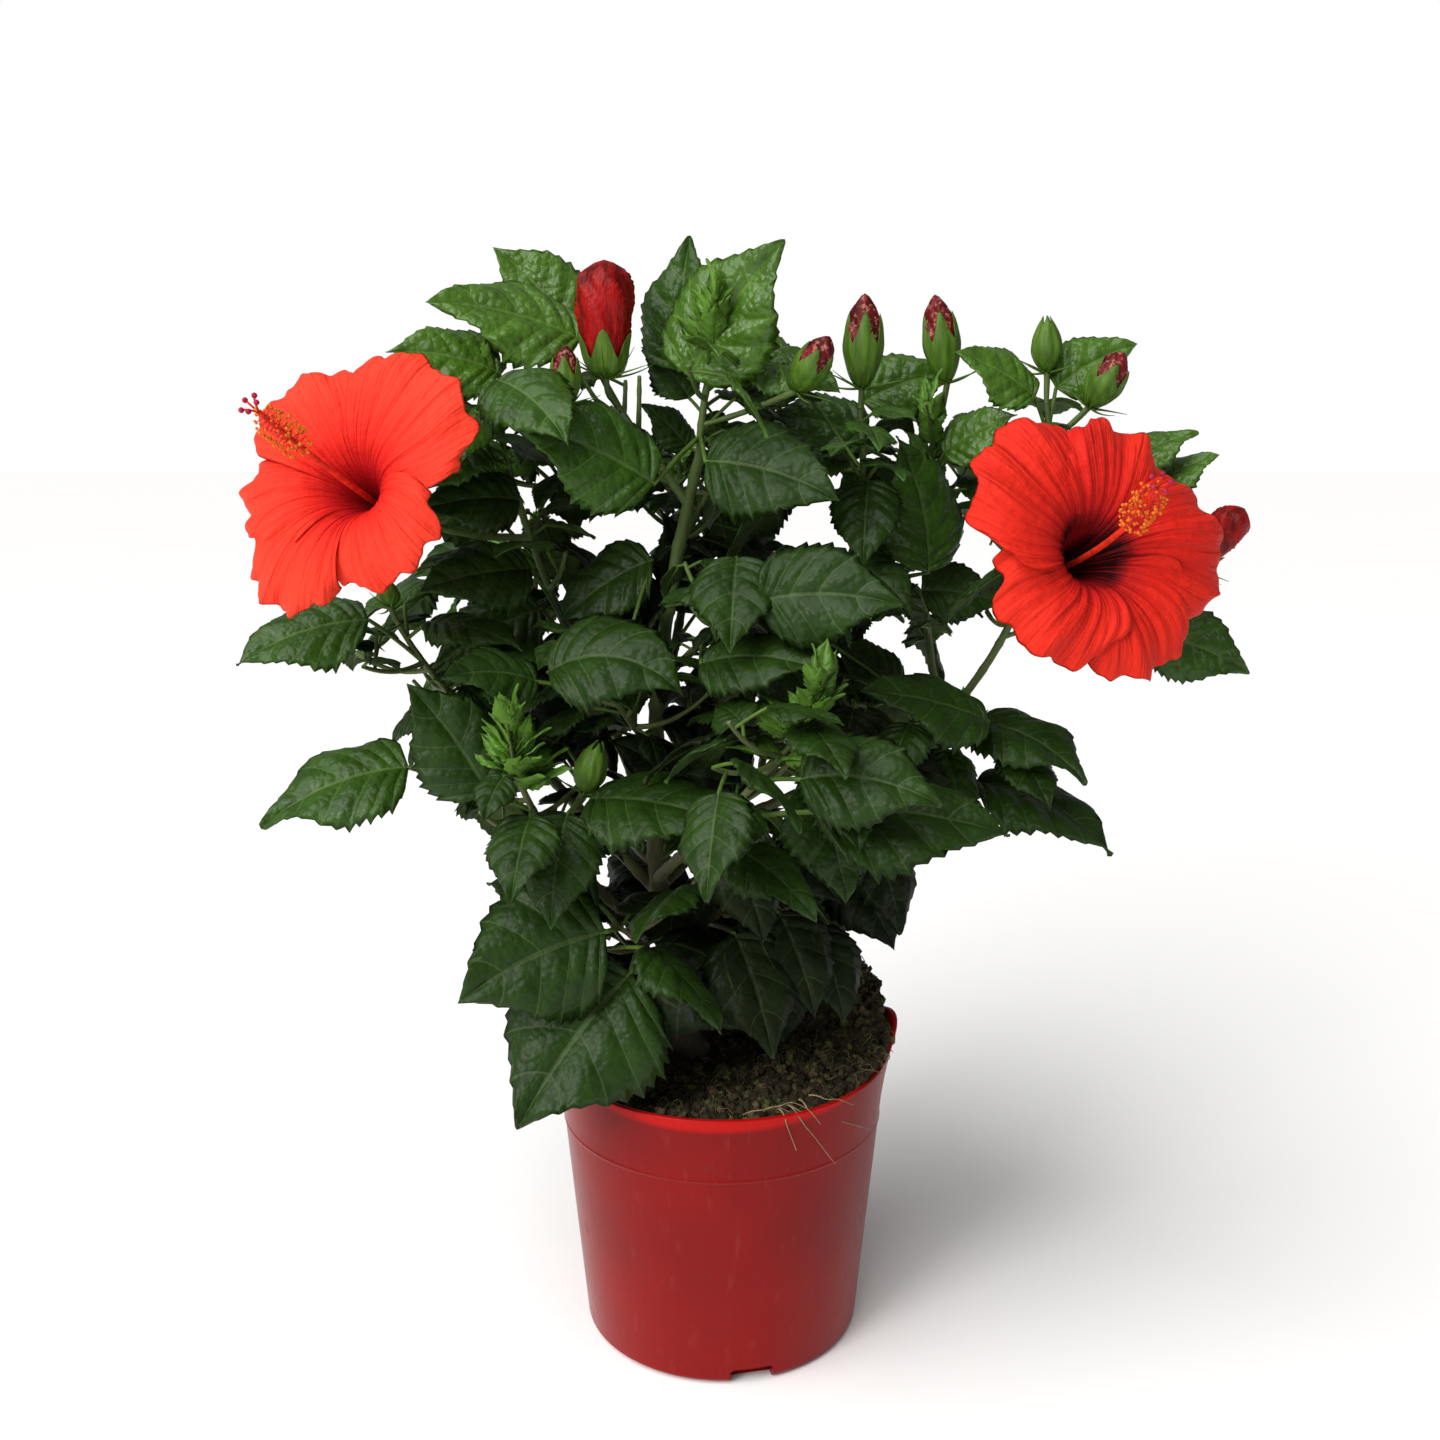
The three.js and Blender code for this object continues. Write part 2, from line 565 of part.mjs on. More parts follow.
// A leaf as one closed body: a three-sided stalk that opens into a blade with a sharp outline and a thick midrib.
function leafBody(leaf, edgeShares, stalkRadius) {
  const points = [];
  const add = (point) => points.push(point) - 1;
  const along = minus(leaf.base, leaf.node).normalize();
  const ahead = minus(leafPoint(leaf, 0.02, 0), leafPoint(leaf, 0, 0)).normalize();
  const across = minus(leafPoint(leaf, 0.3, 1), leafPoint(leaf, 0.3, -1));
  const u = plus(across, along, -along.dot(across)).normalize();
  const v = u.clone().cross(along);
  // The stalk's corners run straight to the plane that halves the turn between stalk and blade.
  const facing = along.dot(ahead) > -0.7 ? plus(along, ahead).normalize() : along;
  const root = [];
  const foot = [];
  for (const angle of [30, 150, 270].map(radians)) {
    const corner = plus(plus(leaf.node, u, stalkRadius * Math.cos(angle)), v, stalkRadius * Math.sin(angle));
    const reach = minus(leaf.base, corner).dot(facing) / along.dot(facing);
    root.push(add(corner));
    foot.push(add(plus(corner, along, reach)));
  }
  const [right, left, under] = foot;
  const half = 0.5 * Math.max(BLADE_THICK, leaf.blade / 45);
  const above = add(leafPoint(leaf, RIB_SHARE, 0, half));
  const below = add(leafPoint(leaf, RIB_SHARE, 0, -half));
  const tip = add(leafPoint(leaf, 1, 0));
  const rightEdge = [right, ...edgeShares.map((s) => add(leafPoint(leaf, s, 1))), tip];
  const leftEdge = [left, ...edgeShares.map((s) => add(leafPoint(leaf, s, -1))), tip];
  const faces = [root, [above, left, right], [below, right, under], [below, under, left]];
  for (let i = 0; i < 3; i += 1) {
    const next = (i + 1) % 3;
    faces.push([root[i], foot[i], foot[next]], [root[i], foot[next], root[next]]);
  }
  for (let i = 0; i + 1 < rightEdge.length; i += 1) {
    faces.push([above, rightEdge[i], rightEdge[i + 1]], [above, leftEdge[i + 1], leftEdge[i]]);
    faces.push([below, rightEdge[i + 1], rightEdge[i]], [below, leftEdge[i], leftEdge[i + 1]]);
  }
  const geometry = new THREE.BufferGeometry().setFromPoints(points);
  geometry.setIndex(faces.flat());
  return solid(geometry);
}

const BUD_PROFILES = {
  furled: [[0, 0.4], [0.3, 0.95], [0.75, 1], [1, 0.3]],
  opening: [[0, 0.4], [0.3, 1], [0.7, 0.9], [1, 0.2]],
  green: [[0, 0.4], [0.3, 1], [0.65, 0.8], [1, 0.15]],
};
const BUD_SIDES = 5;
const BUD_STALK_RADIUS = 1.2;

function budBody(bud) {
  const profile = BUD_PROFILES[bud.kind].map(
    ([share, width]) => new THREE.Vector2((width * bud.wide) / 2, share * bud.long),
  );
  const outline = [new THREE.Vector2(0, 0), ...profile, new THREE.Vector2(0, bud.long)];
  const geometry = new THREE.LatheGeometry(outline, BUD_SIDES);
  geometry.applyQuaternion(new THREE.Quaternion().setFromUnitVectors(new THREE.Vector3(0, 1, 0), bud.along));
  geometry.translate(bud.base.x, bud.base.y, bud.base.z);
  const end = plus(bud.base, bud.along, 2);
  const stalk = limbOf(bud.node, mixed(bud.node, end, 0.5), end, BUD_STALK_RADIUS, BUD_STALK_RADIUS);
  return solid(geometry).add(limbBody(stalk, 3, 1));
}

const LIMB_SIDES = 5;
const STEM_SEGMENTS = 3;

function massBody(mass) {
  const parts = [limbBody(mass.stem, LIMB_SIDES, STEM_SEGMENTS)];
  for (const twig of mass.twigs) parts.push(limbBody(twig, 3, 2));
  for (const leaf of mass.leaves) parts.push(leafBody(leaf, EDGE_SHARES, STALK_RADIUS));
  for (const leaf of mass.tuft) parts.push(leafBody(leaf, YOUNG_EDGE_SHARES, YOUNG_STALK_RADIUS));
  for (const bud of mass.buds) parts.push(budBody(bud));
  return parts.reduce((whole, part) => whole.add(part));
}

// A stack of rings, each a list of points turning the same way round, closed at both ends to a middle point.
function stackBody(rings, firstMiddle, lastMiddle) {
  const count = rings[0].length;
  const faces = [];
  for (let row = 0; row + 1 < rings.length; row += 1)
    for (let i = 0; i < count; i += 1) {
      const j = (i + 1) % count;
      const [a, b] = [row * count + i, row * count + j];
      faces.push(a, b, b + count, a, b + count, a + count);
    }
  const last = (rings.length - 1) * count;
  const middle = rings.length * count;
  for (let i = 0; i < count; i += 1) {
    const j = (i + 1) % count;
    faces.push(middle, j, i, middle + 1, last + i, last + j);
  }
  const geometry = new THREE.BufferGeometry().setFromPoints([...rings.flat(), firstMiddle, lastMiddle]);
  geometry.setIndex(faces);
  return solid(geometry);
}

// Open flower: a funnel of five lobed petals on a green calyx, and the column that stands out of it
const PETALS = 5;
const FLOWER_SIZES = {
  flower_left: { reach: 47, turn: 20, depth: 9 },
  flower_right: { reach: 51, turn: -10, depth: 14 },
};
const FLOWER_SEGMENTS = 25;
const PETAL_NOTCH = 0.16;
const RUFFLE = 2.2;
const PETAL_THICK = 1.8;
const OPEN_SHARES = [0.55, 1];
const CALYX_PROFILE = [[5, -CALYX_LENGTH], [8, -15], [13, -1.5]];
const FUNNEL_PROFILE = [[11, 2], [4.5, -8]];
const COLUMN = { length: 58, lift: 14, radius: 1.7, head: 6, headFrom: 0.62 };

function flowerBody(name, flower) {
  const { throat, axis, side, up } = flower;
  const { reach, turn, depth } = FLOWER_SIZES[name];
  const ring = (radiusAndRise) =>
    Array.from({ length: FLOWER_SEGMENTS }, (_, i) => {
      const angle = (2 * Math.PI * i) / FLOWER_SEGMENTS;
      const [radius, rise] = radiusAndRise(angle);
      const middle = plus(throat, axis, rise);
      return plus(plus(middle, side, radius * Math.cos(angle)), up, radius * Math.sin(angle));
    });
  // The rim runs out and back in over each petal, and waves up and down along it.
  const petal = (angle, share) => {
    const lobe = Math.abs(Math.sin((PETALS / 2) * (angle - radians(turn)))) ** 0.5;
    const radius = reach * share * (1 - PETAL_NOTCH * share * (1 - lobe));
    return [radius, 3 + depth * share + RUFFLE * share * share * Math.sin(3 * PETALS * angle)];
  };
  const rings = [
    ...CALYX_PROFILE.map((row) => ring(() => row)),
    ...OPEN_SHARES.map((share) =>
      ring((angle) => {
        const [radius, rise] = petal(angle, share);
        return [radius, rise - PETAL_THICK];
      })),
    ...[...OPEN_SHARES].reverse().map((share) => ring((angle) => petal(angle, share))),
    ...FUNNEL_PROFILE.map((row) => ring(() => row)),
  ];
  const bottom = plus(throat, axis, -CALYX_LENGTH);
  const well = plus(throat, axis, FUNNEL_PROFILE[FUNNEL_PROFILE.length - 1][1]);
  const end = plus(throat, axis, COLUMN.length);
  end.z += COLUMN.lift;
  const column = limbOf(plus(well, axis, -2), plus(throat, axis, COLUMN.length / 2), end, COLUMN.radius, COLUMN.radius);
  const [from, to] = [onLimb(column, COLUMN.headFrom), onLimb(column, 1)];
  const head = limbOf(from, mixed(from, to, 0.5), to, COLUMN.head, COLUMN.head * 0.6);
  return stackBody(rings, bottom, well).add(limbBody(column, 4, 2)).add(limbBody(head, 5, 1));
}

const looks = (color, roughness, metalness = 0) => new THREE.MeshStandardMaterial({ color, roughness, metalness });
const POT_RED = looks(0x9c1f1f, 0.35);
const EARTH = looks(0x2a2018, 0.95);
const BARK = looks(0x6f6a3a, 0.8);
const LEAF_GREEN = looks(0x1f4a1c, 0.45);
const FLOWER_RED = looks(0xe8321e, 0.55);

const plant = new THREE.Group();

function place(name, body, material) {
  const mesh = new THREE.Mesh(geometryOf(body), material);
  mesh.name = name;
  plant.add(mesh);
}

function upright(profile, segments) {
  const geometry = new THREE.LatheGeometry(profile.map(([r, z]) => new THREE.Vector2(r, z)), segments);
  return geometry.rotateX(Math.PI / 2);
}

const wallAt = (z) => THREE.MathUtils.lerp(BASE_RADIUS, RIM_RADIUS, z / POT_HEIGHT);
const wallInside = (z) => wallAt(z) - WALL;

// The pot: a tapering shell with a rounded rim and foot, a faint ring under the rim, and notches at its foot.
function potBody() {
  let body = solid(
    upright(
      [
        [0, 0],
        [BASE_RADIUS - FOOT_ROUND, 0],
        [wallAt(FOOT_ROUND / 3) - FOOT_ROUND / 3, FOOT_ROUND / 3],
        [wallAt(FOOT_ROUND), FOOT_ROUND],
        [wallAt(BAND_HEIGHT - 1.2), BAND_HEIGHT - 1.2],
        [wallAt(BAND_HEIGHT) + BAND_RELIEF, BAND_HEIGHT],
        [wallAt(BAND_HEIGHT + 1.2), BAND_HEIGHT + 1.2],
        [wallAt(POT_HEIGHT - RIM_ROUND), POT_HEIGHT - RIM_ROUND],
        [RIM_RADIUS - RIM_ROUND, POT_HEIGHT],
        [wallInside(POT_HEIGHT), POT_HEIGHT],
        [wallInside(FLOOR), FLOOR],
        [0, FLOOR],
      ],
      POT_SEGMENTS,
    ),
  );
  for (let i = 0; i < NOTCHES; i += 1) {
    const notch = new THREE.BoxGeometry(NOTCH_DEPTH * 2, NOTCH_WIDTH, NOTCH_HEIGHT * 2);
    notch.translate(BASE_RADIUS + 1, 0, 0);
    notch.rotateZ(radians(FIRST_NOTCH + (360 / NOTCHES) * i));
    body = body.subtract(solid(notch));
  }
  return body;
}

// The ground: rings of uneven height over the root ball, and a shoulder that spills over the rim on one side.
function groundBody() {
  const luck = chance(5);
  // The pot has flat sides, so the ground keeps inside them as well as clear of the wall.
  const flat = Math.cos(Math.PI / POT_SEGMENTS);
  const inside = (z) => wallInside(z) * flat - GAP;
  const ring = (radiusAndHeight) =>
    Array.from({ length: GROUND_SEGMENTS }, (_, i) => {
      const angle = (2 * Math.PI * i) / GROUND_SEGMENTS;
      const [radius, z] = radiusAndHeight(angle);
      return new THREE.Vector3(radius * Math.cos(angle), radius * Math.sin(angle), z);
    });
  const spill = (angle) => {
    const turn = THREE.MathUtils.euclideanModulo(angle - radians(SPILL.angle) + Math.PI, 2 * Math.PI) - Math.PI;
    return Math.exp(-((turn / radians(SPILL.spread)) ** 2));
  };
  // The height of the ground's edge, which climbs over the rim where the ground spills.
  const edgeHeight = (angle) => {
    const share = Math.min(1, (spill(angle) * SPILL.reach) / GAP);
    return THREE.MathUtils.lerp(GROUND_LEVEL - 2, POT_HEIGHT + GAP, share);
  };
  const surface = (radius, angle) => {
    const [x, y] = [radius * Math.cos(angle), radius * Math.sin(angle)];
    const fromTrunk = Math.hypot(x - TRUNK.root[0], y - TRUNK.root[1]);
    const share = THREE.MathUtils.smoothstep(fromTrunk, LEVEL_REACH, LEVEL_REACH + LEVEL_BLEND);
    return GROUND_LEVEL + share * (groundHeight(x, y) - GROUND_LEVEL + LUMP * luck.next());
  };
  const rings = [
    ring(() => [BASE_RADIUS - WALL - NOTCH_DEPTH, FLOOR + GAP]),
    ring(() => [inside(NOTCH_HEIGHT) - 1, NOTCH_HEIGHT + 4]),
    ring(() => [inside(SHOULDER), SHOULDER]),
    ring((angle) => [inside(Math.min(edgeHeight(angle), POT_HEIGHT)), edgeHeight(angle)]),
    ring((angle) => {
      const z = edgeHeight(angle);
      return [inside(Math.min(z, POT_HEIGHT)) + SPILL.reach * spill(angle), z + 0.2 + spill(angle)];
    }),
    ring((angle) => {
      const edge = inside(GROUND_LEVEL) - 3 + SPILL.reach * spill(angle);
      return [edge, Math.max(surface(edge, angle), edgeHeight(angle) + 1 + SPILL.rise * spill(angle))];
    }),
    ...[...GROUND_RINGS].reverse().map((radius) => ring((angle) => [radius, surface(radius, angle)])),
  ];
  return stackBody(rings, new THREE.Vector3(0, 0, FLOOR + GAP), new THREE.Vector3(0, 0, GROUND_LEVEL));
}

place("pot", potBody(), POT_RED);
place("soil", groundBody(), EARTH);

// A limb grown by the gap and lengthened by it, to cut its neighbours clear.
function clearance(limb, sides, segments, options = {}) {
  const reach = GAP / minus(limb.curve.v2, limb.curve.v1).length() / 2;
  return limbBody(limb, sides, segments, { ...options, end: 1 + reach, swell: GAP });
}

const TRUNK_SHAPE = { flare: FLARE, start: -0.05 };
const trunkRoom = clearance(trunk, 9, 10, TRUNK_SHAPE);
const below = new THREE.BoxGeometry(80, 80, 40).translate(TRUNK.root[0], TRUNK.root[1], TRUNK_FOOT - 20);
place("trunk", wholeBody(limbBody(trunk, 9, 10, TRUNK_SHAPE).subtract(solid(below))), BARK);

// Each bough grows out of the trunk, and is cut clear of it.
for (const [name, bough] of Object.entries(boughs))
  place(name, wholeBody(limbBody(bough, LIMB_SIDES, STEM_SEGMENTS).subtract(trunkRoom)), BARK);

// Each mass is cut clear of the bough's tip, or of the trunk, that it grows from.
for (const [name, mass] of Object.entries(masses)) {
  const bough = boughs[MASSES[name][0]];
  const room = bough ? clearance(bough, LIMB_SIDES, STEM_SEGMENTS) : trunkRoom;
  place(name, wholeBody(massBody(mass).subtract(room)), LEAF_GREEN);
}

for (const [name, flower] of Object.entries(flowers)) {
  const stem = clearance(masses[FLOWERS[name][0]].stem, LIMB_SIDES, STEM_SEGMENTS);
  const stalk = limbBody(flower.stalk, 4, 3);
  place(name, wholeBody(flowerBody(name, flower).add(stalk).subtract(stem)), FLOWER_RED);
}

export default plant;
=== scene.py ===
# %% [markdown]
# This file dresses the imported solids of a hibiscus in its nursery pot, so that it looks like the real plant.
# The solids are the frame: each piece made here stands where its solid stands and takes that solid's place.
# Blender works in metres. The plant's own rule is written in millimetres, as a grower would measure it, and
# is turned into metres only where a mesh is made.

# %% Loading the frame
import math

import bmesh
import bpy
import numpy as np
from mathutils import Matrix, Vector


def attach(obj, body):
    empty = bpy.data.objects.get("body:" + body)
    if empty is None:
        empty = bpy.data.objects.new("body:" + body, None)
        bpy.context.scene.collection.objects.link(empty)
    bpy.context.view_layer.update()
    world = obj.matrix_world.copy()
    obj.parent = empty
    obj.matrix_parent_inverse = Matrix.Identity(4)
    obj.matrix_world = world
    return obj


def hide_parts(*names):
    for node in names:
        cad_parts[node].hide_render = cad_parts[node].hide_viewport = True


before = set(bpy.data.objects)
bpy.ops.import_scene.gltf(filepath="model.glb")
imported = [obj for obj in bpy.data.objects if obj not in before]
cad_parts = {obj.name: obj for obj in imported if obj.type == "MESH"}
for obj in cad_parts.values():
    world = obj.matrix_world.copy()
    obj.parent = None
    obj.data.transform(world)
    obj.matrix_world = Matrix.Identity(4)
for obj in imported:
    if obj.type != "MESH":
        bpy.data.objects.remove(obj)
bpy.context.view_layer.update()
MM = 0.001

# %% [markdown]
# The shrub has one woody stem, eleven boughs, and a stem in each mass of leaves. These are the few sizes that
# drive it: where each limb starts, bends and ends. A limb is a curve through three points, since green stems
# bend in one sweep. The same numbers shaped the solids, so the fine plant grows inside their outline.

# %% The limbs
POT_HEIGHT = 122
RIM_RADIUS = 70
GROUND_LEVEL = 117.7
HEAP = {"x": 50, "y": 26, "height": 34, "wide_x": 26, "wide_y": 30}
TRUNK = {"root": (-14, 2, 118), "bend": (-44, 0, 240), "tip": (-9, 0, 370), "wide": 4.8, "slim": 2.1}
BOUGH_RADII = (2.6, 1.9)
STEM_RADII = (1.8, 1.1)
TWIG_RADII = (1.2, 0.8)
FLOWER_STALK_RADII = (1.5, 1.5)

# Each bough: the share of the trunk where it starts, its bend and its tip
BOUGHS = {
    "bough_left_low": [0.21, [-42, -14, 184], [-59, -25, 212]],
    "bough_left_far": [0.29, [-52, 10, 215], [-80, 12, 246]],
    "bough_left_high": [0.4, [-42, 16, 250], [-57, 20, 283]],
    "bough_front": [0.32, [-24, -28, 208], [-7, -45, 229]],
    "bough_right_low": [0.37, [5, -2, 222], [53, 0, 243]],
    "bough_right_high": [0.47, [30, 12, 235], [91, 10, 261]],
    "bough_right_centre": [0.58, [0, 6, 265], [32, 10, 292]],
    "bough_right_back": [0.51, [25, 35, 245], [92, 40, 275]],
    "bough_back_left": [0.34, [-55, 40, 215], [-78, 65, 255]],
    "bough_back": [0.55, [-25, 40, 265], [-18, 70, 300]],
    "bough_back_right": [0.3, [5, 40, 215], [38, 78, 245]],
}

# Each mass: the share of the trunk that its stem grows from, or None where it carries on the bough of its
# name, then the stem's bend and tip, the seed, and how many twigs and leaves luck gives it
MASSES = {
    "leaves_left_low": [None, [-72, -42, 230], [-78, -60, 262], 11, 2, 5],
    "leaves_left_far": [None, [-116, 5, 272], [-128, -10, 305], 12, 2, 6],
    "leaves_left_high": [None, [-79, 15, 328], [-90, 0, 391], 13, 3, 7],
    "leaves_front": [None, [7, -62, 247], [35, -70, 281], 14, 2, 5],
    "leaves_right_low": [None, [77, 0, 254], [98, 0, 258], 35, 2, 6],
    "leaves_right_high": [None, [140, 5, 320], [128, 5, 391], 16, 3, 7],
    "leaves_right_centre": [None, [62, 5, 325], [54, 0, 389], 17, 2, 6],
    "leaves_right_back": [None, [83, 45, 320], [88, 25, 378], 18, 3, 7],
    "leaves_top": [1.0, [-8, 0, 392], [-3, -10, 411], 19, 1, 3],
    "leaves_top_left": [0.93, [-34, 2, 380], [-44, -8, 395], 20, 1, 2],
    "skirt_left": [0.11, [-31, -25, 180], [-42, -45, 192], 21, 0, 3],
    "skirt_right": [0.16, [3, 5, 190], [33, 5, 203], 22, 2, 6],
    "heart_left": [0.53, [-36, -25, 270], [-46, -45, 289], 23, 2, 12],
    "heart_right": [0.65, [-7, -25, 301], [8, -45, 320], 24, 2, 12],
    "heart_low": [0.25, [-10, -14, 192], [5, -24, 213], 28, 2, 12],
    "heart_high": [0.8, [-15, 18, 345], [5, 22, 370], 29, 2, 12],
    "leaves_back_left": [None, [-90, 85, 280], [-85, 95, 320], 25, 3, 9],
    "leaves_back": [None, [-15, 85, 325], [-20, 85, 370], 26, 3, 9],
    "leaves_back_right": [None, [60, 100, 270], [75, 100, 310], 27, 3, 9],
}
# The room that each mass keeps to: its middle and half sizes
ROOMS = {
    "leaves_left_low": [[-85, -40, 240], [75, 60, 55]],
    "leaves_left_far": [[-120, 10, 290], [70, 60, 60]],
    "leaves_left_high": [[-90, 15, 350], [60, 65, 65]],
    "leaves_front": [[10, -75, 250], [75, 65, 60]],
    "leaves_right_low": [[80, -5, 250], [80, 60, 50]],
    "leaves_right_high": [[125, 15, 340], [70, 60, 80]],
    "leaves_right_centre": [[45, 5, 345], [60, 60, 60]],
    "leaves_right_back": [[95, 55, 330], [70, 60, 75]],
    "leaves_top": [[-5, 0, 400], [90, 60, 55]],
    "leaves_top_left": [[-55, -5, 400], [70, 60, 55]],
    "skirt_left": [[-50, -35, 170], [75, 80, 55]],
    "skirt_right": [[20, 10, 175], [75, 80, 55]],
    "heart_left": [[-45, -20, 275], [70, 60, 70]],
    "heart_right": [[15, -15, 300], [70, 60, 70]],
    "heart_low": [[-5, 15, 220], [75, 60, 60]],
    "heart_high": [[0, 15, 360], [75, 50, 60]],
    "leaves_back_left": [[-85, 85, 285], [75, 75, 85]],
    "leaves_back": [[-15, 85, 335], [70, 75, 80]],
    "leaves_back_right": [[65, 95, 270], [80, 75, 85]],
}
print("limbs: 1 trunk,", len(BOUGHS), "boughs,", len(MASSES), "leafy stems")

# %% [markdown]
# Some leaves, buds and blooms show so clearly on this plant that they have their own place. Each row says
# where on its stem it sits, which way its stalk goes and how long it is, and then which way it points itself.

# %% Leaves, buds and blooms with their own place
# Share of the stem, heading, pitch and length of the stalk, then heading, pitch, length, bend and roll
PLACED = {
    "leaves_left_far": [[0.75, 220, 40, 30, 195, 0, 54, 35, 35]],
    "leaves_left_low": [
        [0.6, 180, 20, 50, 195, 0, 60, 40, 30],
        [0.6, 210, 25, 20, 175, 65, 52, 20, 65],
        [0.1, 300, 50, 37, 335, 10, 66, 30, -20],
    ],
    "skirt_left": [
        [0.9, 275, 15, 15, 200, -5, 62, 30, 65],
        [0.6, 285, -10, 23, 215, -35, 73, 20, 40],
        [0.5, 275, 10, 17, 335, -15, 51, 25, -45],
        [0.9, 225, 50, 16, 165, -10, 60, 30, 50],
    ],
    "skirt_right": [
        [0.3, 285, 15, 45, 305, -45, 52, 30, -10],
        [0.5, 300, 10, 37, 310, -45, 45, 30, -20],
        [0.8, 355, 10, 27, 350, -40, 45, 30, -60],
        [0.95, 350, 20, 34, 330, -55, 42, 30, -30],
    ],
    "leaves_front": [
        [0.15, 325, 15, 45, 0, 5, 73, 25, -30],
        [0.55, 295, 15, 35, 345, 15, 52, 45, -50],
        [0.1, 280, 5, 30, 330, -15, 45, 35, -10],
    ],
    "leaves_right_low": [
        [0.9, 5, -60, 22, 340, 0, 64, 50, -15],
        [0.95, 0, 35, 10, 320, 5, 55, 50, -15],
        [0.6, 320, 25, 35, 195, 25, 57, 20, 30],
    ],
    "heart_left": [
        [0.9, 210, 20, 25, 345, 35, 58, 85, -45],
        [0.4, 85, 65, 63, 225, -45, 46, 25, 50],
        [0.8, 200, 15, 30, 215, 25, 40, 35, 40],
        [0.8, 65, 55, 60, 180, -20, 47, 30, 50],
        [0.5, 60, 35, 62, 160, 85, 46, 30, 30],
    ],
    "heart_low": [
        [0.9, 195, 70, 28, 180, 50, 47, 30, 40],
        [0.9, 0, 85, 28, 165, 85, 43, 30, 35],
        [0.3, 85, 5, 26, 180, -10, 49, 30, 40],
        [0.9, 5, 20, 19, 10, -25, 39, 30, -50],
    ],
    "heart_high": [[0.5, 30, -15, 33, 180, 80, 33, 30, 55]],
    "heart_right": [
        [0.5, 270, -10, 25, 335, 20, 52, 40, -30],
        [0.9, 300, 15, 17, 345, 15, 54, 30, -70],
        [0.7, 315, 70, 28, 265, -30, 45, 30, 0],
    ],
    "leaves_left_high": [
        [0.2, 245, 45, 35, 210, 5, 48, 25, 45],
        [0.85, 275, 65, 33, 195, 25, 44, 30, 55],
        [0.95, 280, 25, 35, 315, -10, 48, 40, -30],
        [0.5, 260, 50, 28, 205, 10, 42, 30, 50],
        [0.05, 215, 50, 28, 200, -15, 50, 20, 50],
    ],
    "leaves_top": [
        [0.2, 235, -30, 35, 200, 35, 60, 25, 65],
        [0.2, 275, -20, 26, 340, 0, 56, 30, -60],
        [0.7, 205, 10, 8, 340, 60, 63, 15, -85],
        [0.6, 15, 35, 20, 345, 0, 40, 35, -40],
        [0.85, 135, -5, 18, 45, 90, 52, 15, -20],
        [0.4, 115, 25, 14, 165, 60, 29, 30, 45],
    ],
    "leaves_top_left": [
        [0.9, 160, 60, 27, 195, 25, 61, 25, 45],
        [0.7, 130, 45, 48, 170, 55, 48, 20, 70],
    ],
    "leaves_right_centre": [
        [0.8, 150, 50, 50, 180, 30, 40, 20, 60],
        [0.7, 85, 60, 44, 10, 30, 42, 25, -60],
        [0.5, 290, 65, 32, 260, -45, 38, 30, 0],
        [0.35, 155, -40, 35, 155, 60, 46, 20, 50],
        [0.5, 40, 10, 11, 170, 85, 41, 30, 45],
        [0.3, 355, 15, 38, 185, 90, 57, 30, 65],
        [0.1, 15, -35, 47, 180, 50, 37, 30, 50],
    ],
    "leaves_right_back": [
        [0.3, 255, 30, 23, 5, 5, 37, 30, -65],
        [0.85, 185, 80, 30, 140, 45, 30, 20, 60],
        [0.75, 280, 50, 28, 335, 40, 34, 25, -60],
    ],
    "leaves_right_high": [
        [0.9, 205, 65, 18, 190, 40, 38, 25, 55],
        [0.93, 30, 80, 16, 10, 40, 38, 25, -60],
        [0.35, 0, -5, 56, 345, -5, 44, 30, -70],
        [0.7, 5, 30, 36, 0, 35, 32, 25, -30],
        [0.6, 5, 25, 50, 0, 40, 30, 25, -30],
    ],
}

# Share of the stem, heading, pitch and length of the stalk, then heading, pitch, length, width and kind
BUDS = {
    "leaves_top_left": [
        [1.0, 230, 80, 6, 95, 85, 44, 22, "furled"],
        [0.8, 190, 15, 20, 90, 85, 22, 11, "opening"],
    ],
    "leaves_top": [[0.3, 335, 18, 42, 330, 55, 24, 13, "opening"]],
    "leaves_right_centre": [[1.0, 60, 80, 8, 60, 88, 36, 15, "opening"]],
    "leaves_right_back": [[1.0, 300, 75, 22, 165, 80, 35, 14, "opening"]],
    "leaves_right_high": [
        [1.0, 90, 85, 12, 120, 85, 22, 11, "green"],
        [0.9, 330, 40, 20, 345, 60, 24, 14, "opening"],
        [0.3, 350, 23, 78, 350, 50, 30, 15, "furled"],
    ],
    "leaves_left_low": [[0.3, 330, 55, 26, 340, 70, 22, 12, "green"]],
    "leaves_left_far": [[1.0, 150, 60, 8, 120, 60, 12, 8, "green"]],
}

# How many young leaves stand at the end of a stem, and the length of the longest
TUFTS = {
    "leaves_left_low": [5, 24],
    "leaves_front": [5, 22],
    "leaves_top": [5, 24],
    "leaves_right_back": [3, 20],
    "leaves_right_low": [3, 17],
    "leaves_back": [3, 24],
    "leaves_back_left": [3, 24],
    "leaves_back_right": [3, 24],
    "leaves_left_high": [3, 22],
}

# The mass and the share of its stem that the bloom leaves, its throat, and heading and pitch of its axis
FLOWERS = {
    "flower_left": ["leaves_left_high", 0.55, [-132, -50, 360], 255, 22],
    "flower_right": ["leaves_right_high", 0.4, [129, -60, 336], 292, 20],
}
CALYX_LENGTH = 24

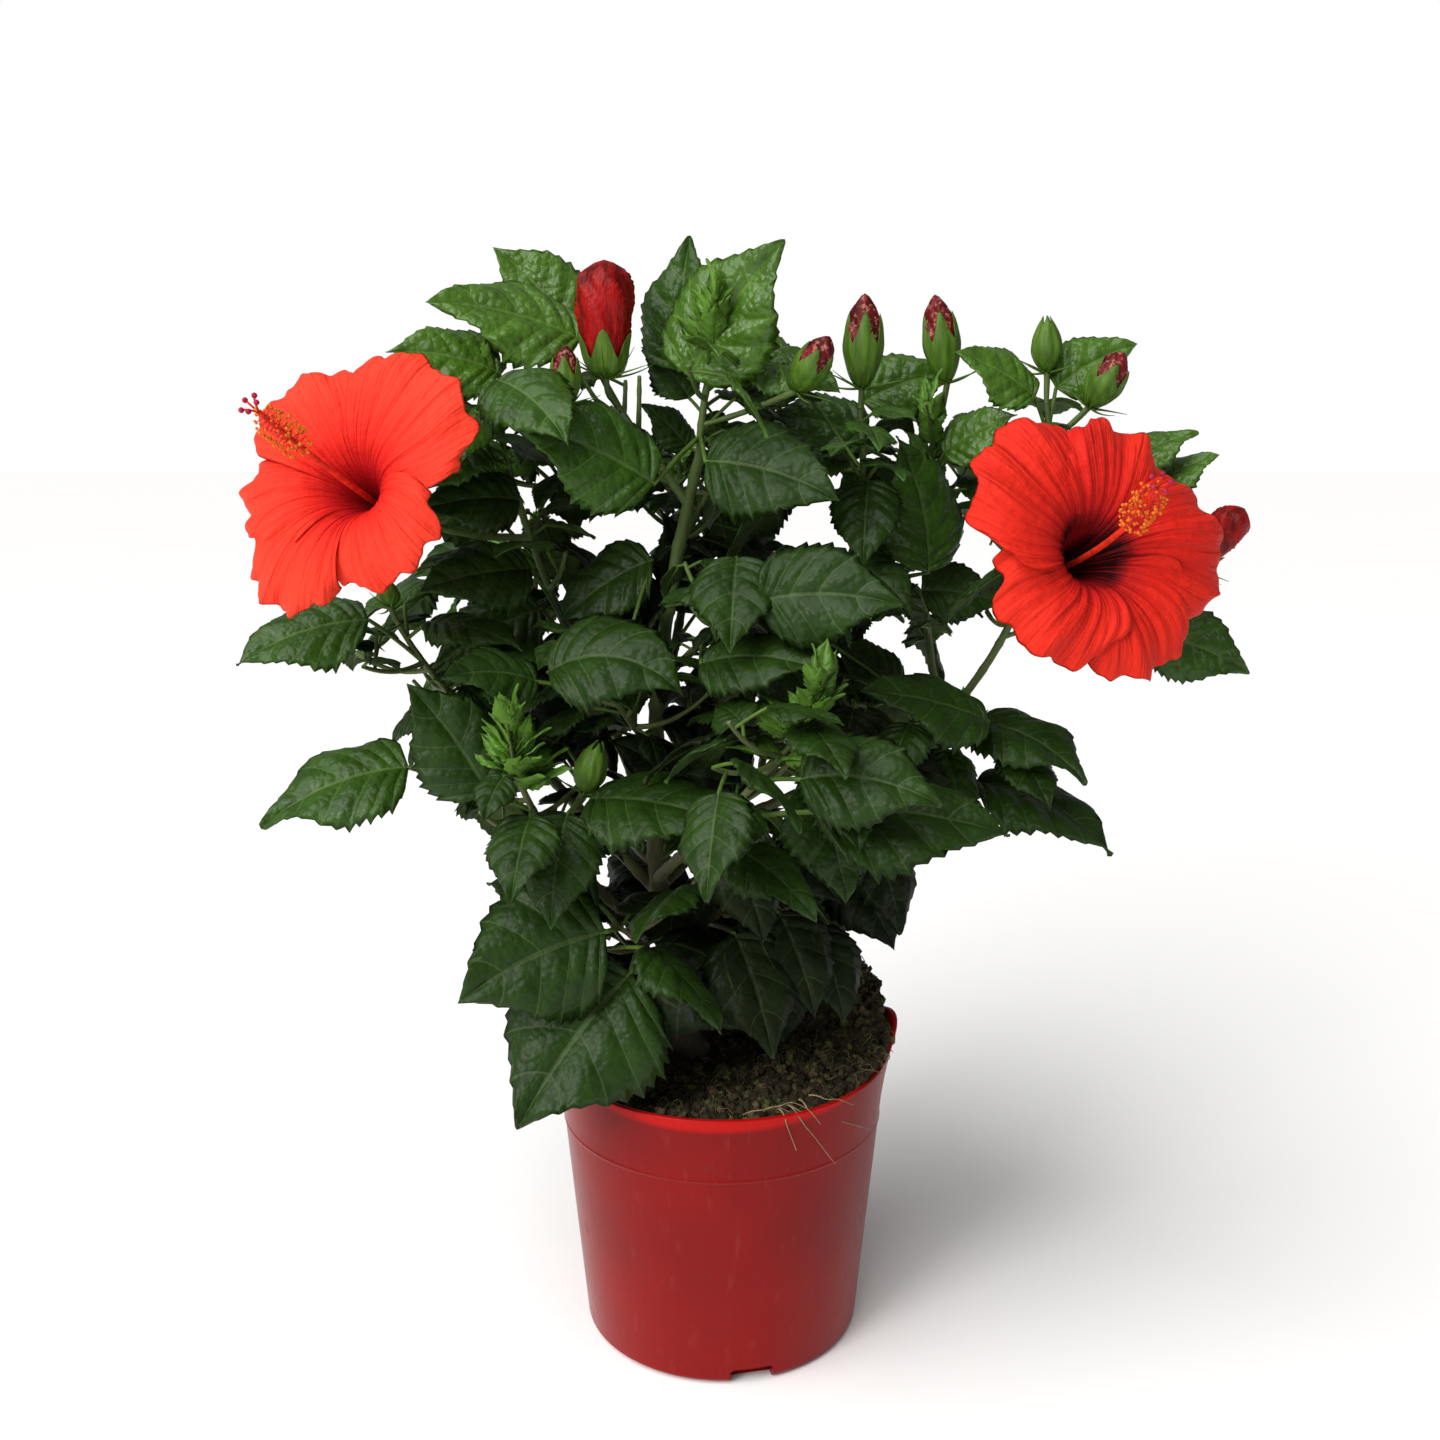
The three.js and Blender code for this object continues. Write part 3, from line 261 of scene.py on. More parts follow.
# Where the sky shows through the crown from in front: x, z and radius on the plane y = 0
EYE = np.array([-1, -600, 392])
SKY = [
    [-38, 338, 9], [-15, 306, 3], [40, 341, 9], [95, 336, 9], [65, 298, 6], [107, 291, 12], [-20, 387, 10],
    [-59, 160, 5], [-161, 258, 22], [-122, 293, 4], [-141, 273, 10], [-128, 208, 18], [-112, 190, 12],
    [-108, 214, 6], [-124, 147, 17], [130, 277, 10], [117, 273, 6], [117, 187, 21], [-86, 419, 4],
]
own_leaves, own_buds = (sum(map(len, rows.values())) for rows in (PLACED, BUDS))
print("placed:", own_leaves, "leaves,", own_buds, "buds,", len(FLOWERS), "blooms")

# %% [markdown]
# A leaf is a stalk and a blade. The blade bends along its length like a strip held at one end, its halves
# fold up from the midrib and droop at the edge, and the whole blade rolls to face the light. One function
# gives the point at any share of the length and of the half width, so a leaf can be drawn coarse or fine.

# %% Directions, limbs and leaves
# The blade's width as a share of its length, and how soon it widens and how late it narrows
BLADE_WIDTH = 0.72
BLADE_ROOT_POWER = 0.5
BLADE_TIP_POWER = 1.02
# How far its halves spread, how steeply they fold up, and how much their edges droop
BLADE_SPREAD = 0.95
BLADE_FOLD = 0.3
BLADE_DROOP = 1.2
# The gap between a limb's points, by which it keeps its room
SAMPLE_STEP = 6


def toward(heading, pitch):
    """The direction with a compass heading, from +X towards +Y, and a pitch above level."""
    h, p = math.radians(heading), math.radians(pitch)
    return np.array([math.cos(h) * math.cos(p), math.sin(h) * math.cos(p), math.sin(p)])


def unit(vector):
    return vector / np.linalg.norm(vector)


class Limb:
    """A tapering limb on a curve through its root and tip, pulled towards its bend."""

    def __init__(self, root, bend, tip, wide, slim):
        self.root, self.bend, self.tip = (np.array(p, float) for p in (root, bend, tip))
        self.wide, self.slim = wide, slim

    def at(self, share):
        t = np.asarray(share, float)[..., None]
        return (1 - t) ** 2 * self.root + 2 * t * (1 - t) * self.bend + t * t * self.tip

    def length(self):
        return np.linalg.norm(np.diff(self.at(np.linspace(0, 1, 21)), axis=0), axis=1).sum()

    def radius(self, share):
        return self.wide + (self.slim - self.wide) * share

    def samples(self):
        return self.at(np.linspace(0, 1, max(3, int(self.length() / SAMPLE_STEP)) + 1))


class Leaf:
    """A leaf: where its stalk leaves the stem, where its blade starts, and how the blade lies."""

    def __init__(self, node, stalk_heading, stalk_pitch, stalk, heading, pitch, blade, bend, roll):
        self.node = node
        self.base = node + toward(stalk_heading, stalk_pitch) * stalk
        self.stalk, self.blade = stalk, blade
        self.h, self.p, self.k, self.r = np.radians([heading, pitch, bend, roll])

    def at(self, s, t, lift=0.0, stretch=1.0):
        """Points at shares s of the midrib and t of the half width, lifted off the upper face."""
        s, t = np.asarray(s, float), np.asarray(t, float)
        turn = self.p - self.k * s
        out = self.blade / self.k * (math.sin(self.p) - np.sin(turn))
        up = self.blade / self.k * (np.cos(turn) - math.cos(self.p))
        flat = np.array([math.cos(self.h), math.sin(self.h), 0])
        rib = self.base + out[..., None] * flat + up[..., None] * np.array([0, 0, 1])
        ahead = np.cos(turn)[..., None] * flat + np.sin(turn)[..., None] * np.array([0, 0, 1])
        side = np.array([math.sin(self.h), -math.cos(self.h), 0])
        above = np.cross(side, ahead)
        right = side * math.cos(self.r) + above * math.sin(self.r)
        face = above * math.cos(self.r) - side * math.sin(self.r)
        w = half_width(s) * self.blade * t * stretch
        rise = BLADE_FOLD * np.abs(w) - BLADE_DROOP * w * w / self.blade + lift
        return rib + right * (w * BLADE_SPREAD)[..., None] + face * rise[..., None]

    def blade_samples(self):
        s, t = np.meshgrid([0.06, 0.18, 0.3, 0.42, 0.54, 0.66, 0.78, 0.9], [-0.92, -0.46, 0, 0.46, 0.92])
        return np.vstack([self.at(s.ravel(), t.ravel()), self.at([1.0], [0.0])])

    def stalk_samples(self):
        count = max(3, int(self.stalk / SAMPLE_STEP))
        shares = np.arange(1, count + 1)[:, None] / count
        return self.node + (self.base - self.node) * shares


def half_width(s):
    """Half the blade's width at share s of its length, as a share of the length."""
    widest = BLADE_ROOT_POWER / (BLADE_ROOT_POWER + BLADE_TIP_POWER)
    s = np.clip(s, 0, 1)
    taper = ((1 - s) / (1 - widest)) ** BLADE_TIP_POWER
    return 0.5 * BLADE_WIDTH * (s / widest) ** BLADE_ROOT_POWER * taper


print("the widest blade is", round(2 * float(half_width(0.33)), 2), "of its length")

# %% [markdown]
# The plant grows by a seeded rule. Twigs and leaves leave their stem two fifths of a circle after the one
# before, and each new one is tried a few times with other luck. It stays only if it keeps to its mass's room,
# leaves the sky open where it shows, stands clear of the pot, and is clear of all that has grown before it.

# %% Seeded luck and clear space
LEAF_CLEARANCE = 6.5
STALK_CLEARANCE = 4.5
TWIG_CLEARANCE = 6.0
LEAF_TRIES = 60
TWIG_TRIES = 12
# How far each stays from the openings where the sky shows
TWIG_FROM_SKY, LEAF_FROM_SKY, YOUNG_FROM_SKY = 1.5, 2, 1
# How far leaves stay from the pot
ABOVE_RIM, ABOVE_GROUND, OUTSIDE_RIM = 7, 6, 8
# A usual rule for chance numbers, and what each growth adds to its mass's seed
LUCK_RANGE, LUCK_FACTOR, LUCK_STEP, SEED_FACTOR = 2**32, 1664525, 1013904223, 7919
SEEDS = {"young": 50, "shoot": 70, "leaves": 100, "finer_twigs": 300, "finer_leaves": 400}


class Luck:
    """A small seeded chance, so that every run grows the same plant."""

    def __init__(self, seed):
        self.state = seed * SEED_FACTOR % LUCK_RANGE

    def next(self):
        self.state = (self.state * LUCK_FACTOR + LUCK_STEP) % LUCK_RANGE
        return self.state / LUCK_RANGE

    def above(self, least, more):
        return least + more * self.next()

    def spread(self, amount):
        return (2 * self.next() - 1) * amount


class Clearing:
    """Points of everything that has grown so far, and whose they are."""

    def __init__(self):
        self.points = np.zeros((0, 3))
        self.owners = np.zeros(0, int)
        self.names = {}

    def number(self, owner):
        return self.names.setdefault(owner, len(self.names))

    def add(self, points, owner):
        points = np.asarray(points, float).reshape(-1, 3)
        self.points = np.vstack([self.points, points])
        self.owners = np.append(self.owners, np.full(len(points), self.number(owner)))

    def free(self, points, gap, own=None):
        low, high = points.min(0) - gap, points.max(0) + gap
        near = ((self.points > low) & (self.points < high)).all(1)
        if own is not None:
            near &= self.owners != self.number(own)
        there = self.points[near]
        return not len(there) or ((points[:, None] - there[None]) ** 2).sum(2).min() >= gap * gap


def in_sky(points, margin):
    """True where a point hides one of the openings from the eye."""
    k = -EYE[1] / (points[:, 1] - EYE[1])
    seen = EYE + (points - EYE) * k[:, None]
    sky = np.array(SKY, float)
    apart = (seen[:, None, 0] - sky[:, 0]) ** 2 + (seen[:, None, 2] - sky[:, 1]) ** 2
    return (apart < (sky[:, 2] + margin) ** 2).any()


def ground_height(x, y):
    bump = -(((x - HEAP["x"]) / HEAP["wide_x"]) ** 2) - ((y - HEAP["y"]) / HEAP["wide_y"]) ** 2
    return GROUND_LEVEL + HEAP["height"] * np.exp(bump)


def over_pot(points):
    """True when every point is clear of the pot and the ground in it."""
    x, y, z = points.T
    clear = (z > POT_HEIGHT + ABOVE_RIM) & (z > ground_height(x, y) + ABOVE_GROUND)
    return (clear | (np.hypot(x, y) > RIM_RADIUS + OUTSIDE_RIM)).all()


def in_room(points, middle, half):
    return ((((points - np.array(middle)) / np.array(half)) ** 2).sum(1) < 1).all()


print("a new leaf keeps", LEAF_CLEARANCE, "mm from its neighbours")

# %% Stems, buds and blooms
class Mass:
    """What one stem carries."""

    def __init__(self, stem):
        self.stem = stem
        self.twigs, self.leaves, self.young, self.spikes, self.buds = [], [], [], [], []


class Bud:
    """A flower bud: its stalk's two ends, which way it points, and its size and kind."""

    def __init__(self, node, base, along, long, wide, kind):
        self.node, self.base, self.along = node, base, along
        self.long, self.wide, self.kind = long, wide, kind


# A flower's stalk comes up behind the bloom, this far, and this share of the way back to its stem
STALK_BEHIND, STALK_BACK = 25, 0.35


class Bloom:
    """An open flower: its stalk, the frame it faces by, and points over its disc."""

    def __init__(self, stem, share, throat, heading, pitch):
        self.throat, self.axis = np.array(throat, float), toward(heading, pitch)
        calyx = self.throat - self.axis * CALYX_LENGTH
        node = stem.at(share)
        bend = calyx - self.axis * STALK_BEHIND + (node - calyx) * STALK_BACK
        self.stalk = Limb(node, bend, calyx, *FLOWER_STALK_RADII)
        self.side = unit(np.cross([0, 0, 1], self.axis))
        self.up = np.cross(self.axis, self.side)

    def point(self, radius, angle, rise):
        """A point at a radius and angle round the axis, and a rise along it."""
        radius, angle, rise = (np.asarray(v, float)[..., None] for v in (radius, angle, rise))
        flat = self.side * np.cos(angle) + self.up * np.sin(angle)
        return self.throat + flat * radius + self.axis * rise

    def samples(self):
        disc = []
        for ring in range(1, 6):
            angles = np.linspace(0, 2 * math.pi, 6 * ring, endpoint=False)
            radius, rise = 9.6 * ring + 0 * angles, 2 + 9 * min(1, 0.32 * ring) + 0 * angles
            disc.append(self.point(radius, angles, rise))
        along = self.throat + self.axis * (6.0 * np.arange(-4, 10))[:, None]
        return np.vstack([*disc, along])


print("a calyx is", CALYX_LENGTH, "mm long")

# %% How twigs and leaves grow
TURN = 144
YOUNG_TURN = 137.5
# Pairs are a least value, and how much more luck may add
TWIG_ZONE = (0.25, 0.6)
TWIG_PITCH = 25
TWIG_STRAY = 60
TWIG_LENGTH = (26, 16)
ON_TWIG, ON_STEM = (0.55, 0.45), (0.1, 0.88)
STALK_SHARE = (0.25, 0.35)
LEAF_BEND = (25, 20)
# With each vain try a leaf gets a little shorter
LEAF_SIZE, SIZE_RANGE, SIZE_LOSS = 46, 22, 0.35
# How far a leaf may stray either way, in degrees
LEAF_STRAY = {"heading": 70, "pitch": 38, "stalk": 20, "roll": 35}
LEAF_HANG, STALK_LIFT = 18, 30


def grow_young(mass, seed, count, size):
    """The youngest leaves, which stand round the end of a stem."""
    luck = Luck(seed + SEEDS["young"])
    turn = 360 * luck.next()
    for k in range(count):
        heading, pitch = turn + YOUNG_TURN * k, 35 + luck.spread(15) + 30 * k / count
        node = mass.stem.at(1 - 0.04 * (count - 1 - k))
        blade = size * (1 - 0.5 * k / count)
        mass.young.append(Leaf(node, heading, pitch, 4 + 0.1 * size, heading, pitch, blade, 20, 0))


def grow_twigs(name, seed, count, middle, half):
    mass, luck = masses[name], Luck(seed)
    turn = 360 * luck.next()
    for k in range(count):
        node = mass.stem.at(TWIG_ZONE[0] + TWIG_ZONE[1] * (k + 0.5) / count)
        for _ in range(TWIG_TRIES):
            heading = turn + TURN * k + luck.spread(TWIG_STRAY)
            pitch = TWIG_PITCH + luck.spread(TWIG_PITCH)
            reach = luck.above(*TWIG_LENGTH)
            bend = node + toward(heading, pitch - 15) * reach * 0.5 - np.array([0, 0, 2])
            twig = Limb(node, bend, node + toward(heading, pitch) * reach, *TWIG_RADII)
            path = twig.samples()[1:]
            open_way = in_room(path, middle, half) and not in_sky(path, TWIG_FROM_SKY)
            if open_way and clearing.free(path, TWIG_CLEARANCE, name):
                mass.twigs.append(twig)
                clearing.add(path, name)
                break


def grow_leaves(name, seed, count, middle, half, size=LEAF_SIZE, gap=LEAF_CLEARANCE):
    mass, luck = masses[name], Luck(seed + SEEDS["leaves"])
    turn = 360 * luck.next()
    on_twigs = 2 * len(mass.twigs)
    for k in range(count + on_twigs):
        limb = mass.twigs[k // 2] if k < on_twigs else mass.stem
        for attempt in range(LEAF_TRIES):
            node = limb.at(luck.above(*(ON_TWIG if k < on_twigs else ON_STEM)))
            heading = turn + TURN * k + luck.spread(LEAF_STRAY["heading"])
            pitch = luck.spread(LEAF_STRAY["pitch"]) - LEAF_HANG
            long = luck.above(size, SIZE_RANGE) - SIZE_LOSS * attempt
            stalk_heading = heading + luck.spread(LEAF_STRAY["stalk"])
            stalk = long * luck.above(*STALK_SHARE)
            bend = luck.above(*LEAF_BEND)
            roll = luck.spread(LEAF_STRAY["roll"])
            leaf = Leaf(node, stalk_heading, pitch + STALK_LIFT, stalk, heading, pitch, long, bend, roll)
            blade, foot = leaf.blade_samples(), leaf.stalk_samples()
            both = np.vstack([blade, foot])
            if not in_room(blade, middle, half) or in_sky(both, LEAF_FROM_SKY) or not over_pot(both):
                continue
            if clearing.free(blade, gap) and clearing.free(foot[1:], min(gap, STALK_CLEARANCE), name):
                keep_leaf(name, leaf)
                break


def keep_leaf(name, leaf):
    masses[name].leaves.append(leaf)
    clearing.add(leaf.blade_samples(), f"{name}/{len(masses[name].leaves)}")
    clearing.add(leaf.stalk_samples()[1:], name + "/stalk")


print("each leaf turns", TURN, "degrees from the one before")

# %% Growing the plant
trunk = Limb(*TRUNK.values())
boughs, masses, blooms, clearing = {}, {}, {}, Clearing()


def grow_limbs():
    clearing.add(trunk.samples(), "trunk")
    for name, (share, bend, tip) in BOUGHS.items():
        boughs[name] = Limb(trunk.at(share), bend, tip, *BOUGH_RADII)
        clearing.add(boughs[name].samples()[1:], name)
    for name, (start, bend, tip, *_) in MASSES.items():
        root = trunk.at(start) if start else BOUGHS[name.replace("leaves", "bough")][2]
        masses[name] = Mass(Limb(root, bend, tip, *STEM_RADII))
        clearing.add(masses[name].stem.samples()[2:], name)


def place_own():
    """Blooms, buds, young leaves and leaves that have their own place."""
    for name, (mass, *row) in FLOWERS.items():
        blooms[name] = Bloom(masses[mass].stem, *row)
        clearing.add(blooms[name].samples(), name)
        clearing.add(blooms[name].stalk.samples()[1:], name)
    for name, rows in BUDS.items():
        for share, stalk_heading, stalk_pitch, stalk, heading, pitch, *shape in rows:
            node = masses[name].stem.at(share)
            base = node + toward(stalk_heading, stalk_pitch) * stalk
            bud = Bud(node, base, toward(heading, pitch), *shape)
            masses[name].buds.append(bud)
            clearing.add([base + bud.along * bud.long * i / 4 for i in range(5)], name + "/bud")
    for name, row in TUFTS.items():
        grow_young(masses[name], MASSES[name][3], *row)
        for leaf in masses[name].young:
            clearing.add(leaf.blade_samples(), name + "/tuft")
    for name, rows in PLACED.items():
        for share, *shape in rows:
            keep_leaf(name, Leaf(masses[name].stem.at(share), *shape))


def counted():
    leaves, twigs = ([len(getattr(mass, part)) for mass in masses.values()] for part in ("leaves", "twigs"))
    return f"{sum(leaves)} leaves on {sum(twigs)} twigs"


grow_limbs()
place_own()
for name, (*_, seed, twigs, _) in MASSES.items():
    grow_twigs(name, seed, twigs, *ROOMS[name])
for name, (*_, seed, _, leaves) in MASSES.items():
    grow_leaves(name, seed, leaves, *ROOMS[name])
print("grown:", counted())

# %% [markdown]
# The solids carry about 170 leaves. The real plant fills the space between them with smaller leaves on finer
# twigs, so the same rule runs on here with shorter twigs, smaller leaves and less room around each.

# %% Growing on, finer
FINE_TWIGS = 3
FINE_LEAVES = 9
INNER_LEAVES = 26
INNER = ("heart", "leaves_back", "skirt")
FINE_GAP = 3.6
FINE_SIZE = 32
FINE_ROOM = 0.92
BUD_MARGIN = 5
# The second bud at the top left stands in front of its leaf
BUD_SHIFT = (0, -17, -3)
# Small leaves with their own place, in the same form as the placed ones
FILLING = {
    "leaves_right_centre": [[0.8, 80, 35, 22, 180, 25, 42, 25, 60]],
    "leaves_top": [[0.05, 110, 5, 14, 190, 55, 26, 25, 60]],
}
# The two leaves that hang over the pot at the left reach a little further out
SKIRT_SHIFTS = [(-6, 0, 0), (-8, 0, 0)]
masses["leaves_top_left"].buds[1].base += np.array(BUD_SHIFT)
all_buds = [bud for mass in masses.values() for bud in mass.buds]


def hides_bud(leaf):
    """True where a blade lies between the eye and a bud."""
    ways = leaf.blade_samples() - EYE
    depth = np.linalg.norm(ways, axis=1)
    for bud in all_buds:
        way = bud.base + bud.along * bud.long / 2 - EYE
        far = np.linalg.norm(way)
        apart = far * np.linalg.norm(ways / depth[:, None] - way / far, axis=1)
        if ((apart < bud.long / 2 + BUD_MARGIN) & (depth < far)).any():
            return True
    return False


def grow_finer(name, seed, middle, half):
    """Carries one mass on to finer twigs and smaller leaves, inside the same room."""
    mass = masses[name]
    half = [FINE_ROOM * reach for reach in half]
    grow_twigs(name, seed + SEEDS["finer_twigs"], FINE_TWIGS, middle, half)
    count = INNER_LEAVES if name.startswith(INNER) else FINE_LEAVES
    grow_leaves(name, seed + SEEDS["finer_leaves"], count, middle, half, FINE_SIZE, FINE_GAP)
    placed = len(PLACED.get(name, []))
    mass.leaves[placed:] = [leaf for leaf in mass.leaves[placed:] if not hides_bud(leaf)]
    for share, *shape in FILLING.get(name, []):
        mass.leaves.append(Leaf(mass.stem.at(share), *shape))


for name, (*_, seed, _, _) in MASSES.items():
    grow_finer(name, seed, *ROOMS[name])
for place, shift in enumerate(SKIRT_SHIFTS):
    masses["skirt_left"].leaves[place].base += np.array(shift)
print("now:", counted())

# %% [markdown]
# A finish is a small graph of nodes. To read like the maths it is, each socket is wrapped so that plus, minus
# and times add the Math nodes themselves. Colours go through a Mix node, because Math turns a colour grey.

# %% A short way to write node graphs
class Value:
    """A socket that Python's own arithmetic works on."""

    def __init__(self, graph, socket):
        self.graph, self.socket = graph, socket

    def math(self, operation, *others, **settings):
        inputs = dict(enumerate([self, *others]))
        return self.graph.node("ShaderNodeMath", {"operation": operation, **settings}, inputs)

    def __add__(self, other):
        return self.math("ADD", other)

    __radd__ = __add__

    def __mul__(self, other):
        return self.math("MULTIPLY", other)

    __rmul__ = __mul__

    def __sub__(self, other):
        return self.math("SUBTRACT", other)

    def __rsub__(self, other):
        return self * -1 + other

    def clamped(self):
        return self.math("ADD", 0.0, use_clamp=True)


class Graph:
    """A node tree under construction."""

    def __init__(self, tree):
        self.tree = tree

    def node(self, kind, settings=None, inputs=None, output=0):
        """Adds a node, sets what it is first and then its sockets, and gives one output."""
        made = self.tree.nodes.new(kind)
        for key, value in (settings or {}).items():
            setattr(made, key, value)
        for key, value in (inputs or {}).items():
            self.plug(made.inputs[key], value)
        return Value(self, made.outputs[output])

    def plug(self, socket, value):
        if isinstance(value, Value):
            self.tree.links.new(value.socket, socket)
        else:
            socket.default_value = value

    def mix(self, share, first, second):
        """A colour between two colours."""
        made = {"Factor": share, 6: first, 7: second}
        return self.node("ShaderNodeMix", {"data_type": "RGBA"}, made, output=2)

    def ramp(self, value, stops):
        """A number turned into a colour by stops of place and colour."""
        made = self.tree.nodes.new("ShaderNodeValToRGB")
        for _ in stops[2:]:
            made.color_ramp.elements.new(0.5)
        for element, (place, colour) in zip(made.color_ramp.elements, stops):
            element.position, element.color = place, colour
        self.plug(made.inputs[0], value)
        return Value(self, made.outputs[0])

    def noise(self, place, scale, detail=3.0, **inputs):
        made = {"Vector": place, "Scale": scale, "Detail": detail, **inputs}
        return self.node("ShaderNodeTexNoise", {}, made)


def rgb(red, green, blue):
    return (red, green, blue, 1.0)


def darker(colour, share):
    return rgb(*(share * c for c in colour[:3]))


def paler(colour, share, towards=(0.30, 0.42, 0.14)):
    return rgb(*(c + (t - c) * share for c, t in zip(colour, towards)))


class Finish(Graph):
    """A material: one shader, and what feeds it."""

    def __init__(self, name, **shader):
        self.material = bpy.data.materials.new(name)
        self.material.use_nodes = True
        super().__init__(self.material.node_tree)
        self.tree.nodes.clear()
        self.shader = self.tree.nodes.new("ShaderNodeBsdfPrincipled")
        output = self.tree.nodes.new("ShaderNodeOutputMaterial")
        self.tree.links.new(self.shader.outputs[0], output.inputs[0])
        self.place = self.node("ShaderNodeTexCoord", output=3)
        self.set(**shader)

    def set(self, **sockets):
        for key, value in sockets.items():
            self.plug(self.shader.inputs[key.replace("_", " ").title().replace("Ior", "IOR")], value)

    def bump(self, height, depth, strength=1.0):
        made = {"Height": height, "Distance": depth, "Strength": strength}
        self.set(normal=self.node("ShaderNodeBump", {}, made))


print("node graphs ready")

# %% [markdown]
# Everything on the plant is a mesh worked out as arrays of points and faces. One function turns such arrays
# into a piece; another says which solids it stands for and which body it rides on.

# %% Making pieces
def new_object(name, data):
    made = bpy.data.objects.new(name, data)
    bpy.context.scene.collection.objects.link(made)
    return made


def mesh_piece(name, points, faces, materials, slots=None):
    """A piece from points in millimetres, triangles, materials and the material of each triangle."""
    points, faces = np.asarray(points, np.float32) * MM, np.asarray(faces, np.int32)
    mesh = bpy.data.meshes.new(name)
    mesh.vertices.add(len(points))
    mesh.vertices.foreach_set("co", points.ravel())
    mesh.loops.add(faces.size)
    mesh.loops.foreach_set("vertex_index", faces.ravel())
    mesh.polygons.add(len(faces))
    mesh.polygons.foreach_set("loop_start", np.arange(0, faces.size, 3, dtype=np.int32))
    for finish in materials:
        mesh.materials.append(finish.material)
    if slots is not None:
        mesh.polygons.foreach_set("material_index", np.asarray(slots, np.int32))
    mesh.polygons.foreach_set("use_smooth", np.ones(len(faces), bool))
    mesh.update(calc_edges=True)
    mesh.validate()
    return new_object(name, mesh)


def stand_in(piece, slot, *nodes):
    """Says what a piece is: it rides on the one body, and stands for these solids."""
    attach(piece, "root")
    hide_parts(*nodes)
    print(f"{piece.name}: {len(piece.data.polygons)} faces for {len(nodes)} solids")


class Gathered:
    """Many small shapes gathered into one mesh."""

    def __init__(self):
        self.points, self.faces, self.slots, self.count = [], [], [], 0

    def size(self):
        return sum(len(part) for part in self.faces)

    def add(self, points, faces, slots=0):
        points = np.asarray(points, float).reshape(-1, 3)
        self.points.append(points)
        self.faces.append(np.asarray(faces) + self.count)
        self.slots.append(np.broadcast_to(slots, len(faces)))
        self.count += len(points)

    def piece(self, name, materials):
        points, faces, slots = (np.concatenate(part) for part in (self.points, self.faces, self.slots))
        return mesh_piece(name, points, faces, materials, slots)


LEAFY = list(masses)
print("masses to stand in for:", len(LEAFY))

# %% [markdown]
# Living leaves are glossy above, matt and paler below, with pale veins. The youngest are a bright yellow
# green of their own. Each leaf takes one plain tint, dealt out by where it grows: the other tints are painted
# light and shade, nearly black for the shaded ones and a lighter green for the lit ones.

# %% Leaf finishes
# Painted light and shade: the first four tints are one leaf green painted from shaded to lit by where it
# grows; young is the young leaves' own colour
TINTS = {
    "shade": rgb(0.0080, 0.0155, 0.0036),
    "deep": rgb(0.0175, 0.045, 0.0050),
    "full": rgb(0.031, 0.083, 0.0070),
    "fresh": rgb(0.062, 0.152, 0.0110),
    "young": rgb(0.088, 0.212, 0.0190),
}


def leaf_finish(name, colour, roughness, sheen, grain=0.24):
    """A leaf's face: patchy in tone, and quilted, since its net of fine veins lies lower than the rest."""
    finish = Finish(name, roughness=roughness, specular_ior_level=sheen)
    mottle = finish.noise(finish.place, 90.0)
    finish.set(base_color=finish.mix((mottle * 2.4 - 0.7).clamped(), darker(colour, 0.6), colour))
    bent = finish.noise(finish.place, 190.0, 4.0)
    cells = finish.node("ShaderNodeTexVoronoi", {}, {"Vector": finish.place, "Scale": 330.0})
    finish.bump(bent * 1.3 - cells, 0.0016, grain)
    return finish


leaf_finishes = {}
# For each tint: how much paler its veins are, how strongly and how softly its upper face shines, its grain
VEINS_AND_SHINE = {
    "shade": (0.04, 0.10, 0.46, 0.24),
    "deep": (0.09, 0.16, 0.40, 0.30),
    "full": (0.13, 0.22, 0.33, 0.38),
    "fresh": (0.15, 0.34, 0.29, 0.46),
    "young": (0.10, 0.30, 0.36, 0.34),
}
for tint, colour in TINTS.items():
    vein, shine, roughness, grain = VEINS_AND_SHINE[tint]
    leaf_finishes[tint] = [
        leaf_finish(f"leaf_{tint}_upper", colour, roughness, shine, grain),
        leaf_finish(f"leaf_{tint}_vein", paler(colour, vein), 0.5, 0.2),
        leaf_finish(f"leaf_{tint}_under", paler(colour, 0.12, (0.20, 0.28, 0.08)), 0.65, 0.12),
    ]
stalk_green = leaf_finish("stalk_green", rgb(0.080, 0.150, 0.022), 0.5, 0.2, 0.3)
print("leaf finishes:", 3 * len(TINTS) + 1)

# %% [markdown]
# The blade's outline is coarsely toothed, with teeth that point to the tip, and the side veins leave the
# midrib slanting forwards. The rows of the blade's grid follow those veins, so a narrow row is a vein, the
# cells between two veins bulge up a little, and every other tooth ends a vein, as on the real leaf.

# %% The blade's grid
VEINS = 6
VEIN_SLANT = 0.26
VEIN_HALF = 0.0035
TOOTH_DEPTH = 0.105
SMALL_TOOTH = 0.72
TOOTH_TIP = 0.8
# The share of a tooth before it has half risen, and the share of the blade near its tip that has no teeth
TOOTH_FOOT = 0.45
TOOTHLESS = 0.12
# Where the grid's columns lie on the upper and the lower face, as shares of the half width
TOP_COLUMNS = [0.0, 0.035, 0.2, 0.42, 0.64, 0.84, 1.0]
BOTTOM_COLUMNS = [0.0, 0.5, 1.0]
BULGE = 0.021
EDGE_WAVE = 0.030
EDGE_WAVES = 2.2
# The fine leaves are a little broader than the solids', and the two over the pot much broader
BROADER = 1.08
BROADEST = 1.34
# The blade draws in towards its tip, from this share of its length on, and loses this share of its width
DRAWN_FROM = 0.60
DRAWN_IN = 0.40
LEAF_THICK = 0.45


